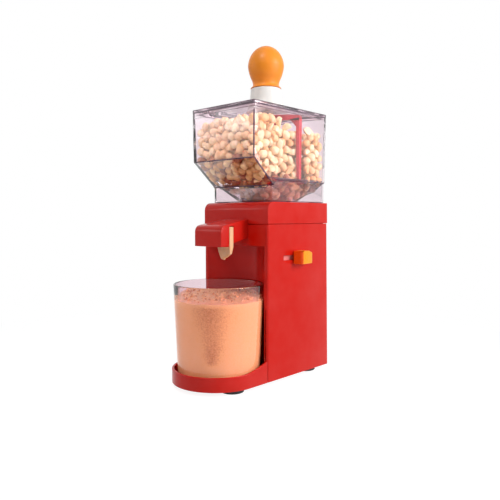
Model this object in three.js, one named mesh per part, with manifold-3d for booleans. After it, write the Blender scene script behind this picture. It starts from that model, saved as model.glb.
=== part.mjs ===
// Counter-top nut butter grinder: a red housing with a clear nut hopper on top, a spout in front, a clear
// cup nested in the housing's bay, a slide switch on the right and a knob that stirs the nuts by hand.
// Millimetres, +Z up, the spout points to -Y, the switch is on +X. Each mesh is one separate piece.
import * as THREE from "three";
import { mergeVertices } from "three/addons/utils/BufferGeometryUtils.js";
import Module from "manifold-3d";

const wasm = await Module();
wasm.setup();

// Clearances
const seat = 0.3; // between pieces that rest on, or sit in, each other
const clear = 0.5; // between pieces that move past each other
const weld = 1e-3; // vertices closer than this are one
const past = 1; // how far a cutter runs past the face that it cuts

// Gears. The gear train sets how far the housing reaches behind the motor.
const gearModule = 1.25;
const toothRise = 0.95; // in modules, above the pitch circle
const toothDrop = 1.25; // in modules, below the pitch circle
const pressureAngle = THREE.MathUtils.degToRad(25);
const backlash = 0.35;
const pinionTeeth = 12;
const wheelTeeth = 36;
const idlerTeeth = 12;
const augerTeeth = 30;
const gearWidth = 5;
const gearGap = 2;

// Housing, from the ground up and back from its front plane at Y = 0
const bodyWidth = 86;
const wall = 2.5;
const cornerRadius = 2.5;
const innerCorner = 1;
const footHeight = 4;
const seamHeight = 153;
const headTall = 21;
const headPlate = 3;
const headFrontRadius = 8;
const rearLean = 4; // how far the rear wall leans in, from the foot to the top
const rearRoom = 11; // behind the last gear, the rear wall included
const lipDrop = 4; // the head's lip reaches down into the lower housing
const lipThick = 1.5;
const halfBody = bodyWidth / 2;
const innerHalf = halfBody - wall;
const bodyTop = seamHeight + headTall;

// Cup and the bay that it nests in
const cupTopRadius = halfBody;
const cupTaper = 3.7;
const cupBottomRadius = cupTopRadius - cupTaper;
const cupHeight = 88.5;
const cupWall = 1.8;
const cupFloor = 2.5;
const cupCentreY = -21.5;
const cupToBay = 1.3;
const bayRadius = cupTopRadius + cupToBay;
const bayBack = cupCentreY + bayRadius + wall;

// Base with its tray in front
const baseThick = 4;
const baseTop = footHeight + baseThick;
const cupBase = baseTop + seat;
const trayWall = 2.2;
const trayReach = cupTopRadius - cupCentreY + trayWall + seat; // ahead of the housing's front plane
const trayCentreY = halfBody - trayReach;
const trayRimFront = footHeight + 13.5;
const trayRimRear = footHeight + 21;
const traySweepStart = 12; // the rim starts to rise this far ahead of the tray's centre
const traySweepTurn = 6;

// Motor, gear plate and gears, from the bay's wall to the housing's rear
const motorRadius = 19;
const motorLength = 41;
const motorRoom = 3.4;
const motorNose = 6;
const motorNoseTall = 3;
const motorShaftRadius = 2.3;
const shaftInMotor = 9;
const plateThick = 2;
const plateFront = bayBack + motorRoom + motorLength + seat;
const plateRear = plateFront + plateThick;
const pinRadius = 3;
const pinHead = 2;
const pinEnd = 3.5;
const lowGearFront = plateRear + gearGap;
const lowGearRear = lowGearFront + gearWidth + past;
const highGearFront = lowGearRear + gearGap;
const highGearRear = highGearFront + gearWidth;
const bodyDepth = highGearRear + rearRoom;
const rearInside = bodyDepth - wall;

// Grinder, along one level axis above the motor, its gear just below the head's plate
const gearRoom = 1.5;
const augerTip = gearModule * (augerTeeth / 2 + toothRise);
const grindHeight = bodyTop - headPlate - gearRoom - augerTip;
const idlerHeight = grindHeight - (gearModule * (augerTeeth + idlerTeeth)) / 2;
const motorHeight = idlerHeight - (gearModule * (wheelTeeth + pinionTeeth)) / 2;
const boreRadius = 11.8;
const barrelRadius = boreRadius + 2.7;
const barrelFront = wall + 2.8;
const barrelEnd = plateFront - 14; // inner end of the bore
const ringLength = 10;
const ringRadius = boreRadius + 1.4;
const coneRear = ringRadius - 2.8;
const coneFront = coneRear - 3.2;
const ridgeHeight = 0.9;
const ridges = 12;
const shaftRadius = 4;
const screwRadius = boreRadius - clear;
const screwTurns = 3;
const screwStart = barrelFront + ringLength + 2 * seat + clear;
const screwEnd = barrelEnd - 2 * seat;
const flangeRadius = 18;
const flangeThick = 3.7;
const bushRadius = shaftRadius + 3.7;
const shaftPlay = 0.4;
const sealThick = 3;
const outletRadius = 8;
const bayTop = grindHeight - barrelRadius - clear - wall;
const plateBottom = motorHeight - 33.25;
const plateTop = grindHeight + flangeRadius + 1;

// Throat from the hopper to the auger
const throatHalf = boreRadius + 0.2;
const throatFront = 28;
const throatRear = plateFront - 6;
const neckWall = 1.7;
const neckBottom = bodyTop - 4;
const inletWall = 2;

// Hopper, from the housing's top upwards
const hopperWall = 2;
const chamferFoot = bodyTop + 16; // lower edge of the slanted front
const hopperEdge = chamferFoot + 4.7; // lower edge of the side walls
const bendHeight = chamferFoot + 23.5;
const rimHeight = bendHeight + 51.5;
const rimHalf = halfBody - 1.2;
const rimFront = -17.3;
const rimRear = bodyDepth - 4.5;
const sideDraft = 1.6;
const frontDraft = 0.9;
const rearDraft = 0.6;
const hopperCorner = 1.6;
const skirtHalf = halfBody - 3.2;
const skirtFront = 10.5;
const skirtRear = rimRear - 0.9;
const skirtWall = 1.8;
const skirtCorner = 1.4;
const ribThick = 2;
const slantRun = skirtFront - rimFront - frontDraft;
const slantRise = bendHeight - chamferFoot;
const slantLength = Math.hypot(slantRun, slantRise);
const funnelFoot = bodyTop + 4;
const funnelTop = hopperEdge + 1.6;
const funnelSkin = 2.6; // thickness of the funnel's floor, measured upright
const funnelLedge = 0.2;
const funnelCorner = 0.5;

// Lid, collar, knob and stirrer, about one upright axis
const stirY = (throatFront + throatRear) / 2;
const lidThick = 2.4;
const lidLedge = 0.8;
const lidLip = 3;
const lidLipThick = 1.6;
const lidCorner = 1;
const collarTall = 25;
const collarTop = rimHeight + collarTall;
const collarFootRadius = 20.5;
const collarTopRadius = 15.5;
const collarSpigot = 7;
const knobTall = 42.5;
const knobTop = collarTop + knobTall;
const knobRadius = 18.3;
const knobNeck = 13.2;
const knobFlare = collarTopRadius + 0.1;
const rodRadius = 3;
const rodPlay = 0.4;
const rodInKnob = 22;
const rodInHub = 2; // below the arm
const hubRadius = 7;
const hubDrop = 3.5; // below the arm
const armTop = rimHeight - 4.5;
const armThick = 5;
const armWidth = 7.2;
const armReach = rimHalf - hopperWall - sideDraft - 2.2;
const barThick = 4.6;
const barBottom = funnelTop - 0.5;
const barTip = 4; // the bar tapers over this height
const gusset = 8;
const gussetThick = 2.4;
const armTurn = THREE.MathUtils.degToRad(20);

// Spout
const spoutHalf = 18;
const spoutReach = 36;
const spoutTop = grindHeight + 8;
const spoutFall = 6.5; // how much lower the roof is at the front
const spoutRootBottom = grindHeight - 10;
const spoutBottom = grindHeight - 17.5;
const spoutWall = 2.5;
const spoutNose = 6; // rounded top front edge
const slotFront = spoutReach - 10.7;
const slotRear = slotFront - 5.5;
const channelFloor = 2;
const channelSlope = 0.22;
const spigotWall = 1.6;

// Switch on the right side
const switchHeight = seamHeight - 32.7;
const leverFront = plateFront - 32.5;
const leverLength = 19;
const leverTall = 13;
const leverReach = 11.5;
const leverRound = 2.5;
const neckFront = leverFront + 4;
const neckLength = 12;
const slotTall = 4.6;
const slotStart = leverFront - 14;
const slotEnd = leverFront + 17;
const switchTravel = 8;
const sliderThick = 2.3;
const sliderTall = 10.6;
const sliderFront = slotStart - switchTravel;
const sliderRear = slotEnd + switchTravel + 1;
const fingerHalf = 2;
const fingerReach = 4;
const shelfThick = 2;
const shelfFront = leverFront - 4;
const shelfRear = leverFront + 24;
const shelfDepth = 16.5;
const tabPitch = 6;
const tabWide = 2.4;
const tabThick = 1;
const tabReach = 5;

// Feet, screws, vents and the cord's gland
const footRadius = 11;
const footStemRadius = 3.5;
const footStem = 2.8;
const frontFootX = halfBody - 16;
const frontFootY = trayCentreY - 7;
const rearFootX = halfBody - 15;
const rearFootY = bodyDepth - 22;
const postRadius = 4.2;
const postTop = baseTop + 22;
const frontPostX = halfBody - 7.6;
const frontPostY = cupCentreY + 36;
const rearPostX = halfBody - 7.2;
const rearPostY = bodyDepth - 8;
const screwHeadRadius = 3.4;
const screwHeadTall = 2;
const screwRod = 1.4;
const screwLength = 17;
const baseSlots = 5;
const baseSlotPitch = 7;
const baseSlotHalf = 1.4;
const baseSlotFront = bayBack + 11;
const baseSlotRear = bodyDepth - 36;
const ventTall = 2.6;
const ventPitch = 6;
const ventCount = 6;
const ventHalf = 16;
const ventBottom = footHeight + 40;
const glandX = -20;
const glandZ = footHeight + 20;
const glandFlange = 6.7;
const glandBarrel = 4;
const glandBore = 2.2;
const glandThick = 3.4;
const glandLength = 10.5;
const glandBoss = 9.5;
const glandBossDepth = 4;

// Sides of round pieces, and steps of the arcs in outlines
const smooth = 36;
const medium = 24;
const small = 16;
const tiny = 10;
const cupSides = 48;
const cornerSteps = 2;
const edgeSteps = 3;
const traySteps = 12;
const domeSteps = 6;
const ridgeSteps = 3; // along the ridges of the cone and of its ring
const turnSteps = 10; // of the auger's flight, each turn

// Solids from shapes

function solid(geometry) {
  const bare = geometry.clone();
  bare.deleteAttribute("normal");
  bare.deleteAttribute("uv");
  const merged = mergeVertices(bare, weld);
  return new wasm.Manifold(
    new wasm.Mesh({
      numProp: 3,
      vertProperties: merged.attributes.position.array,
      triVerts: new Uint32Array(merged.index.array),
    }),
  );
}

function geometryOf(shape) {
  const { vertProperties, triVerts } = shape.getMesh();
  const geometry = new THREE.BufferGeometry();
  geometry.setAttribute("position", new THREE.BufferAttribute(vertProperties, 3));
  geometry.setIndex(new THREE.BufferAttribute(triVerts, 1));
  geometry.computeVertexNormals();
  return geometry;
}

const join = (...shapes) => shapes.reduce((whole, piece) => whole.add(piece));
const cut = (whole, ...cutters) => cutters.reduce((rest, piece) => rest.subtract(piece), whole);

function extrude(shape, depth, curveSegments = cornerSteps) {
  return new THREE.ExtrudeGeometry(shape, { depth, bevelEnabled: false, curveSegments });
}

// An outline in X and Y, raised from z0 to z1
function prismZ(shape, z0, z1, steps) {
  return solid(extrude(shape, z1 - z0, steps).translate(0, 0, z0));
}

// An outline in X and Z, run back from y0 to y1
function prismY(shape, y0, y1) {
  return solid(extrude(shape, y1 - y0).rotateX(Math.PI / 2).translate(0, y1, 0));
}

// An outline in Y and Z, run across from x0 to x1
function prismX(shape, x0, x1, steps = edgeSteps) {
  const turn = new THREE.Matrix4().makeBasis(
    new THREE.Vector3(0, 1, 0),
    new THREE.Vector3(0, 0, 1),
    new THREE.Vector3(1, 0, 0),
  );
  return solid(extrude(shape, x1 - x0, steps).applyMatrix4(turn).translate(x0, 0, 0));
}

function box(x0, x1, y0, y1, z0, z1) {
  const geometry = new THREE.BoxGeometry(x1 - x0, y1 - y0, z1 - z0);
  return solid(geometry.translate((x0 + x1) / 2, (y0 + y1) / 2, (z0 + z1) / 2));
}

function roundRect(x0, x1, y0, y1, radius) {
  const shape = new THREE.Shape();
  shape.moveTo(x0 + radius, y0);
  shape.lineTo(x1 - radius, y0);
  shape.absarc(x1 - radius, y0 + radius, radius, -Math.PI / 2, 0);
  shape.lineTo(x1, y1 - radius);
  shape.absarc(x1 - radius, y1 - radius, radius, 0, Math.PI / 2);
  shape.lineTo(x0 + radius, y1);
  shape.absarc(x0 + radius, y1 - radius, radius, Math.PI / 2, Math.PI);
  shape.lineTo(x0, y0 + radius);
  shape.absarc(x0 + radius, y0 + radius, radius, Math.PI, Math.PI * 1.5);
  return shape;
}

// A profile of [radius, height] pairs, turned about Z
function turned(profile, sides = medium) {
  const points = profile.map(([radius, height]) => new THREE.Vector2(radius, height));
  return solid(new THREE.LatheGeometry(points, sides).rotateX(Math.PI / 2));
}

// The same, turned about an axis along Y: heights become places along Y
function turnedY(profile, height, sides = medium) {
  const points = profile.map(([radius, place]) => new THREE.Vector2(radius, place));
  return solid(new THREE.LatheGeometry(points, sides).translate(0, 0, height));
}

const diskZ = (radius, z0, z1, sides = medium) =>
  turned([[0, z0], [radius, z0], [radius, z1], [0, z1]], sides);
const diskY = (radius, y0, y1, height, sides = medium) =>
  turnedY([[0, y0], [radius, y0], [radius, y1], [0, y1]], height, sides);

// A solid through rings of points that all have as many points, closed by flat ends
function loft(rings) {
  const count = rings[0].length;
  const last = rings.length - 1;
  const places = rings.flat().flatMap((point) => point.toArray());
  const faces = [];
  for (let r = 0; r < last; r += 1) {
    for (let i = 0; i < count; i += 1) {
      const a = r * count + i;
      const b = r * count + ((i + 1) % count);
      faces.push(a, b, a + count, b, b + count, a + count);
    }
  }
  for (const [ring, facing] of [[0, -1], [last, 1]]) {
    const centre = places.length / 3;
    const middle = rings[ring].reduce((sum, point) => sum.add(point), new THREE.Vector3());
    places.push(...middle.divideScalar(count).toArray());
    for (let i = 0; i < count; i += 1) {
      const a = ring * count + i;
      const b = ring * count + ((i + 1) % count);
      faces.push(centre, ...(facing > 0 ? [a, b] : [b, a]));
    }
  }
  const geometry = new THREE.BufferGeometry();
  geometry.setAttribute("position", new THREE.Float32BufferAttribute(places, 3));
  geometry.setIndex(faces);
  return solid(geometry);
}

// A ring of points round a rectangle with rounded corners, level at height z
function rectRing(half, y0, y1, radius, z) {
  return roundRect(-half, half, y0, y1, radius)
    .getPoints(cornerSteps)
    .filter((point, i, all) => i === 0 || point.distanceTo(all[i - 1]) > weld)
    .filter((point, i, all) => i === 0 || point.distanceTo(all[0]) > weld)
    .map((point) => new THREE.Vector3(point.x, point.y, z));
}

// A box whose size changes with height: rows of [half width, front, rear, height]
function tapered(rows, radius) {
  return loft(rows.map(([half, y0, y1, z]) => rectRing(half, y0, y1, radius, z)));
}

// Gears, with involute flanks, their outline in X and Z and one tooth pointing along the angle

function involute(angle) {
  return Math.tan(angle) - angle;
}

function gearShape(teeth, pointing) {
  const pitch = (gearModule * teeth) / 2;
  const tip = pitch + gearModule * toothRise;
  const root = pitch - gearModule * toothDrop;
  const base = pitch * Math.cos(pressureAngle);
  const halfTooth = Math.PI / (2 * teeth) - backlash / (2 * pitch) + involute(pressureAngle);
  const spread = (radius) =>
    halfTooth - involute(Math.acos(Math.min(1, base / Math.max(radius, base))));
  const flank = base > root ? [root, base, pitch, tip] : [root, pitch, tip];
  const shape = new THREE.Shape();
  for (let tooth = 0; tooth < teeth; tooth += 1) {
    const middle = pointing + (2 * Math.PI * tooth) / teeth;
    const rising = flank.map((radius) => [radius, middle - spread(radius)]);
    const falling = flank.map((radius) => [radius, middle + spread(radius)]).reverse();
    for (const [radius, angle] of [...rising, ...falling]) {
      const x = radius * Math.cos(angle);
      const z = radius * Math.sin(angle);
      if (tooth === 0 && shape.curves.length === 0 && radius === root && angle < middle) {
        shape.moveTo(x, z);
      } else {
        shape.lineTo(x, z);
      }
    }
  }
  return shape;
}

// A gear at a height on the mid-plane, from y0 to y1
function gear(teeth, pointing, height, y0, y1) {
  return prismY(gearShape(teeth, pointing), y0, y1).translate([0, 0, height]);
}

// Materials

function finish(color, roughness, metalness = 0, opacity = 1) {
  return new THREE.MeshStandardMaterial({
    color,
    roughness,
    metalness,
    opacity,
    transparent: opacity < 1,
  });
}

const red = finish(0xd2201c, 0.22);
const clearTint = finish(0xead6e2, 0.06, 0, 0.3);
const orange = finish(0xf58a1e, 0.35);
const amber = finish(0xffb400, 0.3);
const white = finish(0xf6f4ef, 0.35);
const stirRed = finish(0xc2182e, 0.3);
const pink = finish(0xf08a86, 0.4);
const rubber = finish(0x151515, 0.8);
const steel = finish(0xb9bcc0, 0.35, 0.9);
const zinc = finish(0x8d9196, 0.45, 0.85);
const nylon = finish(0xe9e6db, 0.5);
const black = finish(0x222224, 0.5);
const bronze = finish(0xa87c46, 0.4, 0.8);

const machine = new THREE.Group();

function add(name, shape, material) {
  const mesh = new THREE.Mesh(geometryOf(shape), material);
  mesh.name = name;
  machine.add(mesh);
  return mesh;
}

// Housing

// Y of the leaning rear wall's outer face at a height
function rearAt(z) {
  return bodyDepth - (rearLean * (z - footHeight)) / (bodyTop - footHeight);
}

// The housing's block between two heights, drawn in by the inset
function bodyBlock(inset, corner, z0, z1) {
  const rows = [z0, z1].map((z) => [halfBody - inset, inset, rearAt(z) - inset, z]);
  return tapered(rows, corner);
}

function bayCutter(radius, z0, z1) {
  return diskZ(radius, z0, z1, cupSides).translate([0, cupCentreY, 0]);
}

function atCorners(x0, y0, x1, y1) {
  return [
    ["front_left", -x0, y0],
    ["front_right", x0, y0],
    ["rear_left", -x1, y1],
    ["rear_right", x1, y1],
  ];
}

const posts = atCorners(frontPostX, frontPostY, rearPostX, rearPostY);
const feet = atCorners(frontFootX, frontFootY, rearFootX, rearFootY);

function plateGuides() {
  const guides = [];
  for (const side of [-1, 1]) {
    const outer = side * (innerHalf + wall / 2);
    const inner = side * (innerHalf - wall);
    const across = [Math.min(outer, inner), Math.max(outer, inner)];
    const low = plateBottom - 2 * shelfThick;
    const high = seamHeight - lipDrop - 2;
    guides.push(box(...across, plateFront - shelfThick - seat, plateFront - seat, low, high));
    guides.push(box(...across, plateRear + seat, plateRear + seat + shelfThick, low, high));
    guides.push(box(...across, plateFront - past, plateRear + past, low, plateBottom - seat));
  }
  return guides;
}

function switchShelves() {
  const half = sliderTall / 2 + 2 * seat;
  return [1, -1].map((side) => {
    const edges = [switchHeight + side * half, switchHeight + side * (half + shelfThick)];
    const [z0, z1] = edges.sort((a, b) => a - b);
    return box(innerHalf - shelfDepth, innerHalf + wall / 2, shelfFront, shelfRear, z0, z1);
  });
}

function lowerHousing() {
  const outer = bodyBlock(0, cornerRadius, footHeight, seamHeight - seat / 2);
  const bay = bayCutter(bayRadius, footHeight - past, bayTop);
  const hollow = cut(
    bodyBlock(wall, innerCorner, footHeight - past, seamHeight + past),
    bayCutter(bayRadius + wall, footHeight - past, bayTop + wall),
  );
  let shell = cut(outer, bay, hollow);
  const glandFace = rearAt(glandZ);
  const glandInside = glandFace - wall - glandBossDepth;
  const onGland = (radius, y0, y1) => diskY(radius, y0, y1, glandZ).translate([glandX, 0, 0]);
  const glandSeat = onGland(glandBoss, glandInside, glandFace - wall / 2);
  const bosses = posts.map(([, x, y]) => {
    const post = diskZ(postRadius, baseTop + seat, postTop, tiny).translate([x, y, 0]);
    const [x0, x1] = [x, Math.sign(x) * (innerHalf + wall / 2)].sort((a, b) => a - b);
    return join(post, box(x0, x1, y - ribThick / 2, y + ribThick / 2, baseTop + seat, postTop));
  });
  shell = join(shell, glandSeat, ...bosses, ...plateGuides(), ...switchShelves());
  const plate = box(
    -innerHalf, innerHalf, -past, rearInside, footHeight - past, baseTop + seat,
  );
  const pilotTop = footHeight + 2 * seat + screwLength + past;
  const pilots = posts.map(([, x, y]) =>
    diskZ(screwRod + seat, footHeight, pilotTop, tiny).translate([x, y, 0]));
  const outlet = diskY(outletRadius, -past, wall + past, grindHeight);
  const slot = box(
    innerHalf - past, halfBody + past, slotStart, slotEnd,
    switchHeight - slotTall / 2, switchHeight + slotTall / 2,
  );
  const vents = Array.from({ length: ventCount }, (_, i) => {
    const z = ventBottom + i * ventPitch;
    const inside = rearAt(z + ventTall) - wall - past;
    return box(-ventHalf, ventHalf, inside, bodyDepth + past, z, z + ventTall);
  });
  const glandPocket = onGland(glandFlange + seat, glandFace - glandThick - seat, bodyDepth + past);
  const glandHole = onGland(glandBarrel + seat, glandInside - past, glandFace);
  return cut(shell, plate, ...pilots, outlet, slot, ...vents, glandPocket, glandHole);
}

// The head between two heights, with its rounded top front edge, drawn in by the inset
function headBlock(inset, corner, z0, z1) {
  const radius = headFrontRadius - inset;
  const side = new THREE.Shape();
  side.moveTo(inset, z0);
  side.lineTo(bodyDepth + past, z0);
  side.lineTo(bodyDepth + past, z1);
  side.lineTo(inset + radius, z1);
  side.absarc(inset + radius, z1 - radius, radius, Math.PI / 2, Math.PI);
  side.lineTo(inset, z0);
  return prismX(side, -halfBody - past, halfBody + past)
    .intersect(bodyBlock(inset, corner, z0 - past, z1 + past));
}

function upperHousing() {
  const z0 = seamHeight + seat / 2;
  const outer = headBlock(0, cornerRadius, z0, bodyTop);
  const inner = headBlock(wall, innerCorner, z0 - past, bodyTop - headPlate);
  const lipOuter = wall + seat;
  const lipInner = lipOuter + lipThick;
  const lipTop = seamHeight + 2;
  const lip = cut(
    bodyBlock(lipOuter, innerCorner, seamHeight - lipDrop, lipTop),
    bodyBlock(lipInner, innerCorner, seamHeight - lipDrop - past, lipTop + past),
  );
  const lipRoots = cut(
    bodyBlock(wall / 2, innerCorner, lipTop - past, lipTop),
    bodyBlock(lipInner, innerCorner, lipTop - 2 * past, lipTop + past),
  );
  const around = neckWall + inletWall + 2 * seat;
  const hole = box(
    -throatHalf - around, throatHalf + around, throatFront - around, throatRear + around,
    bodyTop - headPlate - past, bodyTop + past,
  );
  const outlet = diskY(outletRadius, -past, lipInner + past, grindHeight);
  return cut(join(cut(outer, inner), lip, lipRoots), hole, outlet);
}

// Base plate and tray in one, with the tray's rim sweeping up to the housing

function baseTray() {
  const front = (half, rear) => {
    const shape = new THREE.Shape();
    shape.moveTo(half, trayCentreY);
    shape.lineTo(half, rear);
    shape.lineTo(-half, rear);
    shape.lineTo(-half, trayCentreY);
    shape.absarc(0, trayCentreY, half, Math.PI, 2 * Math.PI);
    return shape;
  };
  const floor = prismZ(front(halfBody, -seat), footHeight, baseTop, traySteps);
  const plate = prismZ(
    roundRect(-innerHalf + seat, innerHalf - seat, -past, rearInside - seat, innerCorner - seat / 2),
    footHeight, baseTop,
  );
  const sweepTop = trayRimRear + past;
  let rim = cut(
    prismZ(front(halfBody, -seat), footHeight, sweepTop, traySteps),
    prismZ(front(halfBody - trayWall, past), footHeight - past, sweepTop + past, traySteps),
  );
  const sweep = new THREE.Shape();
  sweep.moveTo(-trayReach - past, trayRimFront);
  sweep.lineTo(trayCentreY - traySweepStart, trayRimFront);
  sweep.quadraticCurveTo(trayCentreY + traySweepTurn, trayRimFront, past, trayRimRear);
  sweep.lineTo(past, sweepTop + past);
  sweep.lineTo(-trayReach - past, sweepTop + past);
  rim = cut(rim, prismX(sweep, -halfBody - past, halfBody + past, 2 * edgeSteps));
  const heads = posts.map(([, x, y]) =>
    diskZ(screwHeadRadius + seat, footHeight - past, footHeight + screwHeadTall + seat, tiny)
      .translate([x, y, 0]));
  const rods = posts.map(([, x, y]) =>
    diskZ(screwRod + seat, footHeight, baseTop + past, tiny).translate([x, y, 0]));
  const stems = feet.map(([, x, y]) =>
    diskZ(footStemRadius + seat, footHeight - past, footHeight + footStem, small).translate([x, y, 0]));
  const slots = Array.from({ length: baseSlots }, (_, i) => {
    const x = (i - (baseSlots - 1) / 2) * baseSlotPitch;
    return box(
      x - baseSlotHalf, x + baseSlotHalf, baseSlotFront, baseSlotRear, footHeight - past, baseTop + past,
    );
  });
  return cut(join(floor, plate, rim), ...heads, ...rods, ...stems, ...slots);
}

function foot(x, y) {
  const profile = [
    [0, 0],
    [footRadius - 1, 0],
    [footRadius, 1],
    [footRadius - 0.6, footHeight - seat],
    [footStemRadius, footHeight - seat],
    [footStemRadius, footHeight + footStem - seat],
    [0, footHeight + footStem - seat],
  ];
  return turned(profile, small).translate([x, y, 0]);
}

function baseScrew(x, y) {
  const bottom = footHeight + seat;
  const profile = [
    [0, bottom],
    [screwHeadRadius, bottom],
    [screwHeadRadius, bottom + screwHeadTall - seat],
    [screwRod, bottom + screwHeadTall - seat],
    [screwRod, bottom + screwLength],
    [0, bottom + screwLength],
  ];
  return turned(profile, tiny).translate([x, y, 0]);
}

// Cup

function cup() {
  const top = cupBase + cupHeight;
  const slope = (cupTopRadius - cupBottomRadius) / cupHeight;
  const profile = [
    [0, cupBase + 0.6],
    [cupBottomRadius - 5, cupBase + 0.6],
    [cupBottomRadius - 4.4, cupBase],
    [cupBottomRadius - 1.5, cupBase],
    [cupBottomRadius, cupBase + 1.5],
    [cupTopRadius - 4 * slope, top - 4],
    [cupTopRadius, top - 0.5],
    [cupTopRadius - 0.5, top],
    [cupTopRadius - cupWall + 0.5, top],
    [cupTopRadius - cupWall, top - 0.5],
    [cupBottomRadius - cupWall + 2 * slope, cupBase + cupFloor + 2],
    [cupBottomRadius - cupWall - 2, cupBase + cupFloor],
    [0, cupBase + cupFloor],
  ];
  return turned(profile, cupSides).translate([0, cupCentreY, 0]);
}

// Hopper: box with a slanted front, funnel floor, neck and skirt in one clear moulding

// Y of the slanted front at a height, the inset measured square to it
function slantAt(inset, z) {
  return skirtFront + (inset * slantLength + (chamferFoot - z) * slantRun) / slantRise;
}

// Side outline of the box. The inner one lies a wall's thickness inside the outer one, measured square to
// each face, and runs down to the funnel's top.
function hopperSide(inset, top, foot) {
  const slide = (inset * (slantLength - slantRise)) / slantRun; // how far the bend moves up the wall
  const shape = new THREE.Shape();
  shape.moveTo(rimFront + inset, top);
  shape.lineTo(rimFront + frontDraft + inset, bendHeight + slide);
  shape.lineTo(slantAt(inset, foot), foot);
  if (foot < hopperEdge) shape.lineTo(skirtFront + hopperEdge - foot, hopperEdge);
  shape.lineTo(rimRear - rearDraft - inset, Math.max(foot, hopperEdge));
  shape.lineTo(rimRear - inset, top);
  return shape;
}

function hopperBlock(inset, top, foot) {
  const across = rimHalf - inset;
  const rows = [
    [across - sideDraft, rimFront + inset, rimRear - inset, foot - past],
    [across, rimFront + inset, rimRear - inset, top],
  ];
  return prismX(hopperSide(inset, top, foot), -rimHalf, rimHalf)
    .intersect(tapered(rows, hopperCorner - inset / 2));
}

// The funnel from the box's floor to the neck, let down by the drop and then upright to the box's floor
function funnel(skin, drop) {
  const inset = hopperWall + funnelLedge;
  const mouth = [
    rimHalf - sideDraft - inset,
    slantAt(hopperWall, funnelTop) + funnelLedge,
    rimRear - rearDraft - inset,
  ];
  const rows = [
    [throatHalf + skin, throatFront - skin, throatRear + skin, funnelFoot - drop],
    [...mouth, funnelTop - drop],
  ];
  if (drop > 0) rows.push([...mouth, funnelTop - funnelLedge]);
  return tapered(rows, funnelCorner);
}

function hopper() {
  const outer = hopperBlock(0, rimHeight, chamferFoot);
  const skirtAt = (inset, z0, z1) => tapered(
    [z0, z1].map((z) => [skirtHalf - inset, skirtFront + inset, skirtRear - inset, z]),
    skirtCorner - inset / 2,
  );
  const skirt = cut(
    skirtAt(0, bodyTop + seat, hopperEdge + seat),
    skirtAt(skirtWall, bodyTop, hopperEdge + past),
  );
  const shell = cut(
    join(outer, skirt),
    hopperBlock(hopperWall, rimHeight + past, funnelTop),
    skirtAt(skirtWall, bodyTop, chamferFoot),
  );
  const neck = tapered([neckBottom + seat, funnelFoot].map((z) =>
    [throatHalf + neckWall, throatFront - neckWall, throatRear + neckWall, z]), neckWall / 2);
  const rib = box(
    -ribThick / 2, ribThick / 2, skirtFront + skirtWall / 2, throatFront - neckWall / 2,
    bodyTop + seat, funnelFoot,
  );
  const neckCut = box(
    -throatHalf, throatHalf, throatFront, throatRear, neckBottom - past, funnelFoot + funnelCorner,
  );
  const lidSeat = box(
    -rimHalf + hopperWall - lidLedge, rimHalf - hopperWall + lidLedge,
    rimFront + hopperWall - lidLedge, rimRear - hopperWall + lidLedge,
    rimHeight - lidThick - seat, rimHeight + past,
  );
  return cut(
    join(shell, funnel(neckWall, funnelSkin), neck, rib),
    funnel(0, 0),
    neckCut,
    lidSeat,
  );
}

// Lid, collar, knob and stirrer

function hopperLid() {
  const outline = (inset) =>
    roundRect(-rimHalf + inset, rimHalf - inset, rimFront + inset, rimRear - inset, lidCorner);
  const bottom = rimHeight - lidThick;
  const lipInset = hopperWall + 2 * clear;
  const plate = prismZ(outline(hopperWall - lidLedge + seat), bottom, rimHeight);
  const lip = cut(
    prismZ(outline(lipInset), bottom - lidLip, bottom + lidThick / 2),
    prismZ(outline(lipInset + lidLipThick), bottom - lidLip - past, rimHeight),
  );
  const hole = diskZ(collarSpigot + seat, bottom - past, rimHeight + past).translate([0, stirY, 0]);
  return cut(join(plate, lip), hole);
}

function lidCollar() {
  const bottom = rimHeight + seat;
  const spigotBottom = rimHeight - lidThick - 2 * seat;
  const top = collarTop - seat;
  const bore = rodRadius + rodPlay;
  const profile = [
    [bore, spigotBottom],
    [collarSpigot, spigotBottom],
    [collarSpigot, bottom],
    [collarFootRadius, bottom],
    [collarFootRadius - rodPlay, bottom + 0.12 * collarTall],
    [collarTopRadius + 3 * rodPlay, bottom + 0.48 * collarTall],
    [collarTopRadius, top - 1],
    [collarTopRadius - 1, top],
    [bore, top],
    [bore, spigotBottom],
  ];
  return turned(profile).translate([0, stirY, 0]);
}

// Bulb on a waisted neck that flares out over the collar, as shares of its height and of its swell
function knob() {
  const swell = knobRadius - knobNeck;
  const at = (share, widening) => [knobNeck + swell * widening, collarTop + knobTall * share];
  const [, middle] = at(0.51, 1);
  const dome = Array.from({ length: domeSteps }, (_, i) => {
    const angle = (i / domeSteps) * (Math.PI / 2);
    return [knobRadius * Math.cos(angle), middle + (knobTop - middle) * Math.sin(angle)];
  });
  const bore = rodRadius + seat;
  const boreBottom = collarTop + 2 * seat;
  const boreTop = collarTop + rodInKnob;
  const profile = [
    [bore, boreBottom],
    [knobFlare, collarTop],
    [knobFlare - seat, collarTop + 3 * seat],
    at(0.052, 0.1),
    at(0.106, 0),
    at(0.188, 0.18),
    at(0.294, 0.57),
    at(0.412, 0.86),
    ...dome,
    [0, knobTop],
    [0, boreTop],
    [bore, boreTop],
    [bore, boreBottom],
  ];
  return turned(profile).translate([0, stirY, 0]);
}

function stirrerShaft() {
  const bottom = armTop - armThick - rodInHub;
  return diskZ(rodRadius, bottom, collarTop + rodInKnob - seat).translate([0, stirY, 0]);
}

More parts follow.
